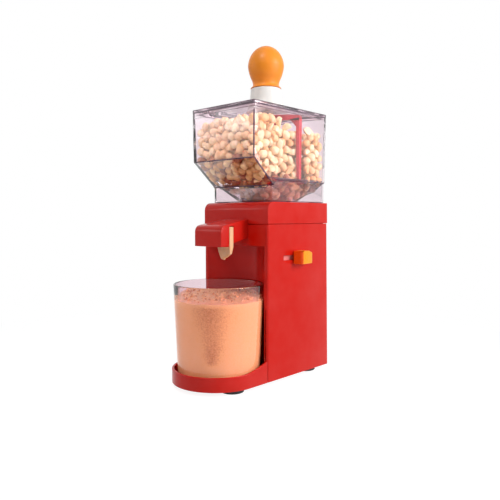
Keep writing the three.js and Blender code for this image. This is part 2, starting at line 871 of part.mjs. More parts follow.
function stirrerArm() {
  const armBottom = armTop - armThick;
  const barInside = armReach - barThick;
  const hub = diskZ(hubRadius, armBottom - hubDrop, armTop);
  const arm = box(0, armReach, -armWidth / 2, armWidth / 2, armBottom, armTop);
  const bar = tapered([
    [armWidth / 2 - 1, barInside + 0.4, armReach - 0.6, barBottom],
    [armWidth / 2, barInside, armReach, barBottom + barTip],
    [armWidth / 2, barInside, armReach, armTop],
  ], 1).rotate([0, 0, -90]);
  const web = new THREE.Shape();
  web.moveTo(barInside + 1, armBottom - gusset);
  web.lineTo(barInside + 1, armBottom + 1);
  web.lineTo(barInside - gusset, armBottom + 1);
  const bore = diskZ(rodRadius + seat, armBottom - rodInHub - seat, armTop + past);
  return cut(join(hub, arm, bar, prismY(web, -gussetThick / 2, gussetThick / 2)), bore)
    .rotate([0, 0, THREE.MathUtils.radToDeg(armTurn)])
    .translate([0, stirY, 0]);
}

// Grinder

function grindingChamber() {
  const rear = plateFront - seat;
  const barrel = join(
    diskY(barrelRadius, barrelFront, rear, grindHeight),
    diskY(flangeRadius, rear - flangeThick, rear, grindHeight, smooth),
  );
  const around = neckWall + seat;
  const throatBox = (half, margin, z0, z1) => box(
    -half - margin, half + margin, throatFront - margin, throatRear + margin, z0, z1,
  );
  const inlet = throatBox(throatHalf, around + inletWall, grindHeight, bodyTop - seat);
  const neckSeat = throatBox(throatHalf, around, neckBottom, bodyTop + past);
  const bore = diskY(boreRadius, barrelFront - past, barrelEnd, grindHeight);
  const ringSeat = diskY(
    ringRadius + seat, barrelFront - past, barrelFront + ringLength + 2 * seat, grindHeight,
  );
  const shaftHole = diskY(shaftRadius + clear, barrelEnd - past, rear + past, grindHeight);
  const bushHole = diskY(bushRadius + seat, barrelEnd + flangeThick, rear + past, grindHeight);
  const throat = box(
    -boreRadius, boreRadius, throatFront, barrelEnd, grindHeight, bodyTop + past,
  );
  const throatBack = box(
    -boreRadius, boreRadius, barrelEnd - past, throatRear, grindHeight + barrelRadius, bodyTop + past,
  );
  return cut(join(barrel, inlet), bore, ringSeat, shaftHole, bushHole, throat, throatBack, neckSeat);
}

// A ridged ring of points across the grinder's axis
function ridgedRing(radius, height, count, y, twist) {
  return Array.from({ length: 2 * count }, (_, i) => {
    const angle = -twist - (Math.PI * i) / count;
    const reach = i % 2 === 0 ? radius : radius - height;
    return new THREE.Vector3(reach * Math.cos(angle), y, grindHeight + reach * Math.sin(angle));
  });
}

function ridgedCone(front, rear, height, count, y0, y1, turn) {
  const rings = Array.from({ length: ridgeSteps + 1 }, (_, i) => {
    const share = i / ridgeSteps;
    const radius = front + (rear - front) * share;
    return ridgedRing(radius, height, count, y0 + (y1 - y0) * share, turn * share);
  });
  return loft(rings);
}

function grindingRing() {
  const y0 = barrelFront + seat;
  const y1 = y0 + ringLength;
  const around = clear + ridgeHeight;
  const bore = ridgedCone(
    coneFront + around + clear, coneRear + around - seat, ridgeHeight,
    ridges + 4, y0 - weld, y1 + weld, -0.3,
  );
  return cut(diskY(ringRadius, y0, y1, grindHeight), bore);
}

function grindingRotor() {
  const y0 = barrelFront + 3 * seat;
  const y1 = barrelFront + seat + ringLength;
  const cone = ridgedCone(coneFront, coneRear, ridgeHeight, ridges, y0, y1, 0.5);
  return cut(cone, diskY(shaftRadius + seat, y0 - past, y1 + past, grindHeight, small));
}

// Shaft with a flight whose lobe turns once for each pitch
function auger() {
  const steps = turnSteps * screwTurns;
  const flight = Array.from({ length: steps + 1 }, (_, i) => {
    const share = i / steps;
    const twist = 2 * Math.PI * screwTurns * share;
    return Array.from({ length: small }, (_, k) => {
      const lobe = [screwRadius, screwRadius, screwRadius - 0.8, shaftRadius + 0.8];
      const reach = lobe[Math.min(k, small - k, lobe.length - 1)];
      const angle = -(2 * Math.PI * k) / small - twist;
      return new THREE.Vector3(
        reach * Math.cos(angle),
        screwStart + (screwEnd - screwStart) * share,
        grindHeight + reach * Math.sin(angle),
      );
    });
  });
  const shaft = diskY(shaftRadius, barrelFront + 2, lowGearRear + past, grindHeight, small);
  return join(loft(flight), shaft);
}

function ringY(outer, inner, y0, y1, height, sides) {
  return cut(
    diskY(outer, y0, y1, height, sides),
    diskY(inner, y0 - past, y1 + past, height, sides),
  );
}

// Gear train: auger gear above, double idler between, motor pinion below

const down = -Math.PI / 2;
const up = Math.PI / 2;

function augerGear() {
  const hub = diskY(2 * shaftRadius, lowGearFront - 1, lowGearRear, grindHeight);
  const wheel = gear(augerTeeth, down, grindHeight, lowGearFront, lowGearRear);
  return cut(join(wheel, hub), diskY(shaftRadius + seat, plateFront, highGearRear, grindHeight, small));
}

function idlerGear() {
  const gapAngle = Math.PI / idlerTeeth;
  const pinion = gear(idlerTeeth, up + gapAngle, idlerHeight, lowGearFront, highGearFront + past);
  const wheel = gear(wheelTeeth, down, idlerHeight, highGearFront, highGearRear);
  return cut(join(pinion, wheel), diskY(pinRadius + seat, plateFront, bodyDepth, idlerHeight, small));
}

function idlerPin() {
  const head = plateFront - seat;
  const profile = [
    [0, head - pinHead],
    [pinRadius + pinHead, head - pinHead],
    [pinRadius + pinHead, head],
    [pinRadius, head],
    [pinRadius, highGearRear + pinEnd],
    [0, highGearRear + pinEnd],
  ];
  return turnedY(profile, idlerHeight, small);
}

function motorPinion() {
  const gapAngle = Math.PI / pinionTeeth;
  const rootRadius = gearModule * (pinionTeeth / 2 - toothDrop);
  const shaft = diskY(motorShaftRadius, plateFront - shaftInMotor, highGearRear + 2, motorHeight, small);
  const hub = diskY(rootRadius, highGearFront - 3, highGearFront + past, motorHeight, small);
  return join(shaft, hub, gear(pinionTeeth, up + gapAngle, motorHeight, highGearFront, highGearRear));
}

// Can with a nose in front and a band rolled in near its rear
function motor() {
  const rear = plateFront - seat;
  const front = rear - motorLength;
  const band = motorRadius - 0.8;
  const bandLength = 8;
  const profile = [
    [0, front],
    [motorNose, front],
    [motorNose, front + motorNoseTall],
    [motorRadius - 2, front + motorNoseTall],
    [motorRadius, front + motorNoseTall + 2],
    [motorRadius, rear - bandLength - 1],
    [band, rear - bandLength],
    [band, rear - 1],
    [band - 1, rear],
    [0, rear],
  ];
  const bore = diskY(
    motorShaftRadius + clear, rear - shaftInMotor - clear, rear + past, motorHeight, small,
  );
  return cut(turnedY(profile, motorHeight), bore);
}

function gearPlate() {
  const shape = new THREE.Shape();
  const step = seamHeight - lipDrop - 1;
  const wide = innerHalf - seat;
  const narrow = innerHalf - 4;
  shape.moveTo(-wide, plateBottom);
  shape.lineTo(wide, plateBottom);
  shape.lineTo(wide, step);
  shape.lineTo(narrow, step);
  shape.lineTo(narrow, plateTop);
  shape.lineTo(-narrow, plateTop);
  shape.lineTo(-narrow, step);
  shape.lineTo(-wide, step);
  const plate = prismY(shape, plateFront, plateRear);
  const holes = [
    [bushRadius, grindHeight],
    [pinRadius + seat, idlerHeight],
    [motorShaftRadius + 3, motorHeight],
  ].map(([radius, height]) => diskY(radius, plateFront - past, plateRear + past, height, small));
  return cut(plate, ...holes);
}

// Spout: channel with a floor, then a slot, then the hood that turns the butter down

function spout() {
  const slope = spoutFall / spoutReach;
  const roofAt = (y) => spoutTop + y * slope;
  const floorAt = (y) => spoutRootBottom + y * channelSlope;
  const noseRear = -spoutReach + spoutNose;
  const noseTop = roofAt(-spoutReach);
  const side = new THREE.Shape();
  side.moveTo(-seat, spoutRootBottom);
  side.lineTo(-seat, spoutTop);
  side.lineTo(noseRear, roofAt(noseRear));
  side.quadraticCurveTo(-spoutReach, noseTop, -spoutReach, noseTop - spoutNose);
  side.lineTo(-spoutReach, spoutBottom);
  side.lineTo(-slotFront, spoutBottom);
  side.lineTo(-slotFront, floorAt(-slotRear));
  side.lineTo(-slotRear, floorAt(-slotRear));
  const outer = prismX(side, -spoutHalf, spoutHalf);
  const inside = -spoutReach + spoutWall;
  const rear = -spoutWall - seat;
  const inner = new THREE.Shape();
  inner.moveTo(rear, spoutRootBottom + channelFloor);
  inner.lineTo(rear, spoutTop - spoutWall);
  inner.lineTo(noseRear, roofAt(noseRear) - spoutWall);
  inner.quadraticCurveTo(inside, noseTop - spoutWall, inside, noseTop - spoutNose);
  inner.lineTo(inside, spoutBottom - past);
  inner.lineTo(-slotRear, spoutBottom - past);
  inner.lineTo(-slotRear, floorAt(-slotRear) + channelFloor);
  const hollow = prismX(inner, -spoutHalf + spoutWall, spoutHalf - spoutWall);
  const slotSide = new THREE.Shape();
  slotSide.moveTo(-slotFront, spoutBottom - past);
  slotSide.lineTo(-slotRear, spoutBottom - past);
  slotSide.lineTo(-slotRear, roofAt(-slotRear) - spoutWall);
  slotSide.lineTo(-slotFront, roofAt(-slotFront) - spoutWall);
  const slot = prismX(slotSide, -spoutHalf - past, spoutHalf + past);
  const spigotOuter = outletRadius - seat;
  const spigot = diskY(spigotOuter, -spoutWall / 2, barrelFront, grindHeight);
  const through = diskY(spigotOuter - spigotWall, rear - past, barrelFront + past, grindHeight);
  return cut(join(outer, spigot), hollow, slot, through);
}

// Switch

const leverMiddle = leverFront + leverLength / 2;

function switchLever() {
  const z0 = switchHeight - leverTall / 2;
  const z1 = switchHeight + leverTall / 2;
  const y0 = leverFront;
  const y1 = leverFront + leverLength;
  const x0 = halfBody + seat;
  const x1 = halfBody + leverReach;
  const top = new THREE.Shape();
  top.moveTo(x0, y0);
  top.lineTo(x1 - leverRound, y0 + clear);
  top.quadraticCurveTo(x1, y0 + 2 * clear, x1, y0 + leverRound + clear);
  top.lineTo(x1 - 1, y1 - leverRound - 1);
  top.quadraticCurveTo(x1 - 1.5, y1, x1 - leverRound - 1.5, y1);
  top.lineTo(x0, y1);
  const face = new THREE.Shape();
  face.moveTo(y0 - past, z0);
  face.lineTo(y1 + past, z0 + clear);
  face.lineTo(y1 + past, z1 - leverRound - clear);
  face.lineTo(y1 - leverTall / 2, z1);
  face.lineTo(y0 - past, z1);
  const grip = prismZ(top, z0, z1).intersect(prismX(face, halfBody, x1 + past));
  const neckHalf = slotTall / 2 - seat;
  const neck = box(
    innerHalf, halfBody + 2 * seat, neckFront, neckFront + neckLength,
    switchHeight - neckHalf, switchHeight + neckHalf,
  );
  return join(grip, neck);
}

function switchSlider() {
  const x1 = innerHalf - seat;
  const x0 = x1 - sliderThick;
  const half = sliderTall / 2;
  const plate = box(x0, x1, sliderFront, sliderRear, switchHeight - half, switchHeight + half);
  const finger = box(
    x0 - fingerReach, x0 + sliderThick / 2, leverMiddle - fingerHalf, leverMiddle + fingerHalf,
    switchHeight - fingerHalf, switchHeight + fingerHalf,
  );
  return join(plate, finger);
}

function switchBody() {
  const x1 = innerHalf - sliderThick - 2 * seat;
  const x0 = innerHalf - shelfDepth;
  const half = sliderTall / 2 + seat;
  const block = box(
    x0, x1, shelfFront + shelfThick, shelfRear - shelfThick, switchHeight - half, switchHeight + half,
  );
  const grooveHalf = fingerHalf + clear;
  const groove = box(
    x1 - fingerReach - clear, x1 + past,
    leverMiddle - grooveHalf - switchTravel, leverMiddle + grooveHalf,
    switchHeight - grooveHalf, switchHeight + grooveHalf,
  );
  const tabs = [-tabPitch, 0, tabPitch].map((shift) => {
    const y = leverMiddle + shift;
    return box(
      x0 - tabReach, x0 + 1, y - tabWide / 2, y + tabWide / 2,
      switchHeight - tabThick / 2, switchHeight + tabThick / 2,
    );
  });
  return join(cut(block, groove), ...tabs);
}

function cordInlet() {
  const face = rearAt(glandZ) - seat;
  const back = rearAt(glandZ) - glandThick;
  const inside = rearAt(glandZ) - glandLength;
  const profile = [
    [glandBore, inside],
    [glandBarrel, inside],
    [glandBarrel, back],
    [glandFlange, back],
    [glandFlange, face - 0.8],
    [glandFlange - 1.4, face],
    [glandBore + 0.6, face],
    [glandBore, face - 0.8],
    [glandBore, inside],
  ];
  return turnedY(profile, glandZ, tiny).translate([glandX, 0, 0]);
}

add("lower_housing", lowerHousing(), red);
add("upper_housing", upperHousing(), red);
add("base_tray", baseTray(), red);
for (const [corner, x, y] of feet) add(`foot_${corner}`, foot(x, y), rubber);
for (const [corner, x, y] of posts) add(`base_screw_${corner}`, baseScrew(x, y), zinc);
add("cup", cup(), clearTint);
add("spout", spout(), red);
add("hopper", hopper(), clearTint);
add("hopper_lid", hopperLid(), clearTint);
add("lid_collar", lidCollar(), white);
add("knob", knob(), orange);
add("stirrer_shaft", stirrerShaft(), steel);
add("stirrer_arm", stirrerArm(), stirRed);
add("grinding_chamber", grindingChamber(), nylon);
add("grinding_ring", grindingRing(), steel);
add("grinding_rotor", grindingRotor(), steel);
add("auger", auger(), steel);
add(
  "shaft_seal",
  ringY(
    bushRadius, shaftRadius + shaftPlay, barrelEnd + flangeThick + seat,
    barrelEnd + flangeThick + seat + sealThick, grindHeight, small,
  ),
  rubber,
);
add(
  "rear_bearing",
  ringY(
    bushRadius, shaftRadius + shaftPlay, barrelEnd + flangeThick + 2 * seat + sealThick,
    plateFront - seat, grindHeight, small,
  ),
  bronze,
);
add("auger_gear", augerGear(), nylon);
add("idler_gear", idlerGear(), nylon);
add("idler_pin", idlerPin(), steel);
add(
  "idler_clip",
  ringY(pinRadius + 2.2, pinRadius + seat, highGearRear + seat, highGearRear + 1.5, idlerHeight, small),
  zinc,
);
add("gear_plate", gearPlate(), zinc);
add("motor", motor(), zinc);
add("motor_pinion", motorPinion(), steel);
add("switch_lever", switchLever(), amber);
add("switch_slider", switchSlider(), pink);
add("switch_body", switchBody(), black);
add("cord_inlet", cordInlet(), rubber);

// The origin is on the ground under the middle of the whole machine, lever included.
machine.position.set(-leverReach / 2, (trayReach - bodyDepth) / 2, 0);

export default machine;
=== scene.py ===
"""Counter-top nut butter grinder: red housing, clear nut hopper and cup, orange knob, orange slide switch.

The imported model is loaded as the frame. Shapes are worked out in metres in the machine's own axes, which
start on the housing's mid-plane, at its front face and on the ground, and are moved into place at the end.
"""

import math

import bmesh
import bpy
import numpy as np
from mathutils import Matrix, Vector, noise


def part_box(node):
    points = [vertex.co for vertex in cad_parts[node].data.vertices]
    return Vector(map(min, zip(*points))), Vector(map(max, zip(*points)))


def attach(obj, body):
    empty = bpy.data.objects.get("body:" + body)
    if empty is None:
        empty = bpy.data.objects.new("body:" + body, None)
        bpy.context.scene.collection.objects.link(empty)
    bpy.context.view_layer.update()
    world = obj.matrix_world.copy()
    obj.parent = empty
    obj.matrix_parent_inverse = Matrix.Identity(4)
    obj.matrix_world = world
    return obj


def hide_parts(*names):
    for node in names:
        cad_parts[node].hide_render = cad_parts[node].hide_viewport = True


bl_info = {
    "name": "Nut butter grinder",
    "version": (1, 0, 0),
    "blender": (4, 5, 0),
    "location": "3D View > Sidebar > Grinder",
    "description": "Builds the looks of a counter-top nut butter grinder round its packed model",
    "category": "Add Mesh",
}

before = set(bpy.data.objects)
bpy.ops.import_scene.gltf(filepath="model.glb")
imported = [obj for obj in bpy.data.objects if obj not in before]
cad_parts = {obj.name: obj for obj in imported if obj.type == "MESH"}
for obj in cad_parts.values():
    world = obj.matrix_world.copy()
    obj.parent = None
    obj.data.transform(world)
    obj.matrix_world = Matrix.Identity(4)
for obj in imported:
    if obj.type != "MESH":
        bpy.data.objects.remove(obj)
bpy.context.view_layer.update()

MM = 0.001
PAST = 1 * MM  # how far a cutter runs past the face that it cuts
SEAT = 0.3 * MM  # between pieces that rest on, or sit in, each other
WELD = 0.001 * MM  # vertices closer than this are one
PLATE = 4 * MM  # thickness of the base plate
OUTLET = 8 * MM  # radius of the grinder's outlet into the spout
SCREW_HOLE = 1.7 * MM  # radius of the holes for the base screws
THROAT = 12 * MM  # half the width of the hopper's throat
BAR_GAP = 5.8 * MM  # from the stirrer's bar to the hopper's outside
STIR_ROOM = 0.4 * MM  # left free round what the stirrer sweeps
CORNERS = ("front_left", "front_right", "rear_left", "rear_right")
SHELL_LOW, SHELL_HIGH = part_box("lower_housing")
ORIGIN = Vector(((SHELL_LOW.x + SHELL_HIGH.x) / 2, SHELL_LOW.y, 0))


def span(node):
    """A CAD node's lowest and highest corners in the machine's own axes."""
    low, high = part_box(node)
    return low - ORIGIN, high - ORIGIN


def middle_of(node):
    """The middle of a CAD node's box in the machine's own axes."""
    return tuple((least + most) / 2 for least, most in zip(*span(node)))


def linear(*levels):
    """A colour written in screen levels from 0 to 255, as shaders take it."""
    shares = [level / 255 for level in levels]
    return tuple(s / 12.92 if s < 0.04 else ((s + 0.055) / 1.055) ** 2.4 for s in shares)


# Settings

def length(name, text, millimetres):
    """A size in the settings, with its default in millimetres."""
    return bpy.props.FloatProperty(
        name=name, description=text, default=millimetres * MM, unit="LENGTH", precision=4
    )


def colour(name, text, *levels):
    """A colour in the settings, with its default in screen levels."""
    return bpy.props.FloatVectorProperty(
        name=name, description=text, default=linear(*levels), size=3, min=0, max=1, subtype="COLOR"
    )


class HousingSizes(bpy.types.PropertyGroup):
    """Sizes of the red housing, its base and its spout."""

    wall: length("Wall", "Thickness of the housing's walls", 2.5)
    corner: length("Corner", "Radius of the upright corners", 2.3)
    lean: length("Lean", "How far the rear wall leans in from foot to top", 4)
    head_round: length("Head round", "Radius of the head's top front edge", 8)
    head_plate: length("Head plate", "Thickness of the head's top", 3)
    edge: length("Edge", "Softened edge of the mouldings", 0.5)
    cup_room: length("Cup room", "Gap between the cup's rim and the bay", 1.3)
    neck_room: length("Neck room", "From the throat's wall to the hole in the head", 4.3)
    tray_wall: length("Tray wall", "Thickness of the tray's rim", 2.2)
    tray_front: length("Tray front", "Height of the tray's rim in front", 17.5)
    tray_rear: length("Tray rear", "Height of the tray's rim at the housing", 25)
    sweep_start: length("Sweep start", "Where the rim starts to rise, ahead of the housing", 36)
    sweep_turn: length("Sweep turn", "Where the rim's curve turns, ahead of the housing", 18)
    spout_fall: length("Spout fall", "How much lower the spout's roof is in front", 6.5)
    spout_nose: length("Spout nose", "Radius of the hood's top front edge", 6)
    slot_front: length("Slot front", "Front of the spout's slot, ahead of the housing", 25.3)
    slot_rear: length("Slot rear", "Rear of the spout's slot, ahead of the housing", 19.8)
    channel_foot: length("Channel foot", "Channel's underside at the housing, below the axis", 10)


class ClearSizes(bpy.types.PropertyGroup):
    """Sizes of the clear cup and hopper and of what they hold."""

    cup_wall: length("Cup wall", "Thickness of the cup's wall", 1.8)
    cup_floor: length("Cup floor", "Thickness of the cup's floor", 2.5)
    cup_taper: length("Cup taper", "How much the cup narrows to its foot", 3.7)
    hopper_wall: length("Hopper wall", "Thickness of the hopper's wall", 2)
    # The edges are a painted dark line that stands for the shade that refraction shows along clear
    # plastic.
    edge: length("Edge", "Width of the tinted edges of the hopper and lid", 0.65)
    butter: length("Butter", "Height of the nut butter in the cup", 82)
    nut: length("Nut", "Radius of the space that one nut takes", 4.6)
    heap: length("Heap", "Top of the heap of nuts", 256.5)
    heap_fall: length("Heap fall", "How much lower the heap is a hand's breadth from its top", 9)
    nuts: bpy.props.IntProperty(name="Nuts", description="Number of nuts", default=690, min=1)


class TurnedSizes(bpy.types.PropertyGroup):
    """Sizes of the knob, collar, stirrer and switch."""

    knob_neck: length("Knob neck", "Radius of the knob's waist", 13.2)
    knob_flare: length("Knob flare", "Radius of the knob's foot", 15.6)
    collar_top: length("Collar top", "Radius of the collar's top", 15.5)
    rod: length("Rod", "Radius of the stirrer's rod", 3)
    arm_width: length("Arm width", "Width of the stirrer's arm and bar", 7.2)
    arm_thick: length("Arm thickness", "Thickness of the stirrer's arm", 5)
    bar_thick: length("Bar thickness", "Thickness of the stirrer's bar", 4.6)
    hub: length("Hub", "Radius of the stirrer's hub", 7)
    lever_round: length("Lever round", "Radius of the switch lever's outer corners", 2.5)
    slot_tall: length("Slot", "Height of the switch's slot", 4.6)


class Finishes(bpy.types.PropertyGroup):
    """Colours of the materials."""

    shell: colour("Shell", "Red plastic of the housing", 206, 20, 4)
    tint: colour("Clear tint", "What one clear wall lets through", 246, 235, 240)
    cup_tint: colour("Cup tint", "What one wall of the cup lets through", 238, 216, 224)
    # This is the colour of the painted dark line along the clear plastic's edges.
    rim: colour("Clear edge", "Edges of the clear plastic", 84, 40, 72)
    knob: colour("Knob", "Orange plastic of the knob", 255, 150, 34)
    lever: colour("Lever", "Amber plastic of the switch lever", 255, 160, 10)
    # The lever's front colour is painted shade and a painted reflection of the red housing on the lever's
    # front face.
    lever_front_shade: colour("Lever deep", "Front of the switch lever", 246, 84, 6)
    slider: colour("Slider", "Pink plastic of the switch's slider", 240, 138, 134)
    collar: colour("Collar", "White plastic of the collar", 246, 244, 240)
    stirrer: colour("Stirrer", "Crimson plastic of the stirrer", 196, 26, 48)
    nut_pale: colour("Nut pale", "Palest blanched nuts", 252, 228, 182)
    nut_dark: colour("Nut dark", "Darker nuts", 236, 186, 122)
    # The brownest nut colour also serves as the painted shade of the nuts on the slanted walls.
    nut_brown_and_shade: colour("Nut brown", "Brownest nuts", 156, 88, 56)
    butter: colour("Butter", "Nut butter", 238, 178, 118)
    # The dark butter colour is used for the real flecks and crumbs, and also for the painted dark
    # reflection on the butter's side.
    butter_flecks_and_dark_reflection: colour("Butter dark", "Flecks and crumbs", 196, 124, 72)


class StageSettings(bpy.types.PropertyGroup):
    """Camera and lights."""

    camera_place: bpy.props.FloatVectorProperty(
        name="Camera place",
        description="Where the camera stands, from the part's origin",
        default=(381.44 * MM, -411.15 * MM, 159.37 * MM),
        subtype="TRANSLATION",
        unit="LENGTH",
        precision=4,
    )
    camera_turn: bpy.props.FloatProperty(
        name="Camera turn",
        description="Angle of the view from the machine's front",
        default=math.radians(42.825),
        subtype="ANGLE",
    )
    camera_dip: bpy.props.FloatProperty(
        name="Camera dip",
        description="How far the camera looks down",
        default=math.radians(3.301),
        subtype="ANGLE",
    )
    lens: bpy.props.FloatProperty(
        name="Lens", description="Focal length in millimetres", default=40.84, unit="CAMERA"
    )
    key: bpy.props.FloatProperty(
        name="Key", description="Power of the large light on the right", default=7, unit="POWER"
    )
    side: bpy.props.FloatProperty(
        name="Side", description="Power of the higher light on the right", default=7, unit="POWER"
    )
    fill: bpy.props.FloatProperty(
        name="Fill", description="Power of the light on the left", default=1.4, unit="POWER"
    )
    top: bpy.props.FloatProperty(
        name="Top", description="Power of the high light in front", default=2.8, unit="POWER"
    )
    sky: bpy.props.FloatProperty(
        name="Sky", description="Strength of the even light from all round", default=0.24
    )


SETTINGS = {
    "grinder_housing": HousingSizes,
    "grinder_clear": ClearSizes,
    "grinder_turned": TurnedSizes,
    "grinder_finishes": Finishes,
    "grinder_stage": StageSettings,
}


# Shapes

def block(low, high):
    """A closed box between two corners."""
    bm = bmesh.new()
    bmesh.ops.create_cube(bm, size=1)
    low, high = Vector(low), Vector(high)
    bmesh.ops.scale(bm, vec=high - low, verts=bm.verts)
    bmesh.ops.translate(bm, vec=(low + high) / 2, verts=bm.verts)
    return bm


def rod(radius, start, end, sides=64):
    """A closed cylinder from one point to another."""
    start, end = Vector(start), Vector(end)
    along = end - start
    turn = along.to_track_quat("Z", "Y").to_matrix().to_4x4()
    bm = bmesh.new()
    bmesh.ops.create_cone(
        bm, cap_ends=True, segments=sides, radius1=radius, radius2=radius, depth=along.length,
        matrix=Matrix.Translation((start + end) / 2) @ turn,
    )
    return bm


def bevel(bm, edges, width, steps):
    """Rounds the given edges."""
    bmesh.ops.bevel(
        bm, geom=edges, offset=width, segments=steps, profile=0.5, affect="EDGES", material=-1,
        clamp_overlap=True,
    )


def edges_where(bm, test):
    """The edges whose two ends both pass the test."""
    return [edge for edge in bm.edges if all(test(v.co) for v in edge.verts)]


def upright_edges(bm):
    """The edges that run mainly up and down."""
    def steep(edge):
        run = edge.verts[1].co - edge.verts[0].co
        return abs(run.z) > 0.8 * run.length
    return [edge for edge in bm.edges if steep(edge)]


def extruded(outline, axis, low, high):
    """A closed flat outline, pushed out along an axis. Its points are in the other two axes."""
    across = [i for i in range(3) if i != axis]
    bm = bmesh.new()
    ring = []
    for point in outline:
        place = [low, low, low]
        place[across[0]], place[across[1]] = point
        ring.append(bm.verts.new(place))
    pushed = bmesh.ops.extrude_face_region(bm, geom=[bm.faces.new(ring)])
    step = [0, 0, 0]
    step[axis] = high - low
    moved = [item for item in pushed["geom"] if isinstance(item, bmesh.types.BMVert)]
    bmesh.ops.translate(bm, vec=step, verts=moved)
    bmesh.ops.recalc_face_normals(bm, faces=bm.faces)
    return bm


def turned(profile, centre, sides=96, closed=False, lengthwise=False):
    """A profile of (radius, height) turned about an upright axis, or about a level one along Y."""
    bm = bmesh.new()
    verts = [bm.verts.new((radius, 0, height)) for radius, height in profile]
    pairs = list(zip(verts, verts[1:])) + ([(verts[-1], verts[0])] if closed else [])
    edges = [bm.edges.new(pair) for pair in pairs]
    bmesh.ops.spin(
        bm, geom=verts + edges, cent=(0, 0, 0), axis=(0, 0, 1), angle=math.tau, steps=sides,
        use_merge=True,
    )
    bmesh.ops.remove_doubles(bm, verts=bm.verts, dist=WELD)
    if lengthwise:
        bmesh.ops.rotate(bm, matrix=Matrix.Rotation(-math.pi / 2, 3, "X"), verts=bm.verts)
    bmesh.ops.translate(bm, vec=centre, verts=bm.verts)
    bmesh.ops.recalc_face_normals(bm, faces=bm.faces)
    return bm


def arc(centre, radius, start, end, steps):
    """Points of a circle's arc between two angles in degrees."""
    angles = [math.radians(start + (end - start) * i / steps) for i in range(steps + 1)]
    return [(centre[0] + radius * math.cos(a), centre[1] + radius * math.sin(a)) for a in angles]


def bend(start, middle, end, steps):
    """Points of a curve that leaves start towards middle and reaches end from it."""
    start, middle, end = Vector(start), Vector(middle), Vector(end)
    shares = [i / steps for i in range(steps + 1)]
    points = [start * (1 - s) ** 2 + middle * 2 * s * (1 - s) + end * s**2 for s in shares]
    return [tuple(point) for point in points]


def flowing(points, steps):
    """A smooth line through all the points."""
    line = []
    rows = [Vector(p) for p in points]
    for i in range(len(rows) - 1):
        before = rows[max(i - 1, 0)]
        after = rows[min(i + 2, len(rows) - 1)]
        start, end = rows[i], rows[i + 1]
        for k in range(steps):
            s = k / steps
            lead = (end - before) / 2
            trail = (after - start) / 2
            line.append(
                start * (2 * s**3 - 3 * s**2 + 1) + lead * (s**3 - 2 * s**2 + s)
                + end * (3 * s**2 - 2 * s**3) + trail * (s**3 - s**2)
            )
    line.append(rows[-1])
    return [tuple(point) for point in line]


def gather(shapes):
    """Several closed shapes in one mesh. The shapes themselves are used up."""
    whole = bmesh.new()
    for shape in shapes:
        mesh = bpy.data.meshes.new("gathered")
        shape.to_mesh(mesh)
        shape.free()
        whole.from_mesh(mesh)
        bpy.data.meshes.remove(mesh)
    return whole


def combine(operation, whole, tool):
    """Joins two closed shapes, cuts one by the other or keeps what they share."""
    objects = []
    for shape in (whole, tool):
        mesh = bpy.data.meshes.new("shape")
        shape.to_mesh(mesh)
        shape.free()
        shown = bpy.data.objects.new("shape", mesh)
        bpy.context.scene.collection.objects.link(shown)
        objects.append(shown)
    modifier = objects[0].modifiers.new("Combine", "BOOLEAN")
    modifier.operation = operation
    modifier.solver = "EXACT"
    modifier.object = objects[1]
    result = bmesh.new()
    result.from_object(objects[0], bpy.context.evaluated_depsgraph_get())
    for shown in objects:
        bpy.data.meshes.remove(shown.data)
    if not result.faces:
        raise RuntimeError(f"nothing was left by {operation}")
    bmesh.ops.remove_doubles(result, verts=result.verts, dist=WELD)
    bmesh.ops.dissolve_limit(
        result, angle_limit=math.radians(0.2), verts=result.verts, edges=result.edges
    )
    return result


def cut(whole, *tools):
    """The shape less each of the cutters in turn."""
    for tool in tools:
        whole = combine("DIFFERENCE", whole, tool)
    return whole


def join(whole, *others):
    """The shapes as one body."""
    for other in others:
        whole = combine("UNION", whole, other)
    return whole


def shared(whole, tool):
    """What both shapes cover."""
    return combine("INTERSECT", whole, tool)


def merged_copy(node):
    """A CAD node's shape with its corners joined and its flat faces made whole."""
    bm = bmesh.new()
    bm.from_mesh(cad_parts[node].data)
    bmesh.ops.remove_doubles(bm, verts=bm.verts, dist=WELD)
    bmesh.ops.dissolve_limit(
        bm, angle_limit=math.radians(0.5), verts=bm.verts, edges=bm.edges
    )
    bmesh.ops.translate(bm, vec=-ORIGIN, verts=bm.verts)
    return bm


def hold_inside(made, node):
    """Applies the rounding and pulls back the corners that it throws past the node's box."""
    graph = bpy.context.evaluated_depsgraph_get()
    mesh = bpy.data.meshes.new_from_object(made.evaluated_get(graph), depsgraph=graph)
    low, high = (Vector(corner) + ORIGIN for corner in span(node))
    for vertex in mesh.vertices:
        vertex.co = [min(max(at, least), most) for at, least, most in zip(vertex.co, low, high)]
    made.modifiers.clear()
    made.data = mesh


def piece(
    name, bm, body, finishes, stands_for=(), edge=0.0, steps=2, sharp=35.0, slide=True,
    within="",
):
    """Makes an object of the shape with the named finishes, rounded, that rides on a body."""
    bmesh.ops.translate(bm, vec=ORIGIN, verts=bm.verts)
    many_sided = [face for face in bm.faces if len(face.verts) > 4]
    bmesh.ops.triangulate(bm, faces=many_sided)
    for face in bm.faces:
        face.smooth = True
    mesh = bpy.data.meshes.new(name)
    bm.to_mesh(mesh)
    bm.free()
    mesh.set_sharp_from_angle(angle=math.radians(sharp))
    for finish in finishes:
        mesh.materials.append(finish_of(finish))
    made = bpy.data.objects.new(name, mesh)
    bpy.context.scene.collection.objects.link(made)
    if edge:
        modifier = made.modifiers.new("Edges", "BEVEL")
        modifier.width = edge
        modifier.segments = steps
        modifier.limit_method = "ANGLE"
        modifier.angle_limit = math.radians(sharp)
        modifier.use_clamp_overlap = False
        modifier.loop_slide = slide
        modifier.harden_normals = True
        modifier.material = len(finishes) - 1
    if within:
        hold_inside(made, within)
    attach(made, body)
    if stands_for:
        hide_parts(*stands_for)
    return made


# Materials

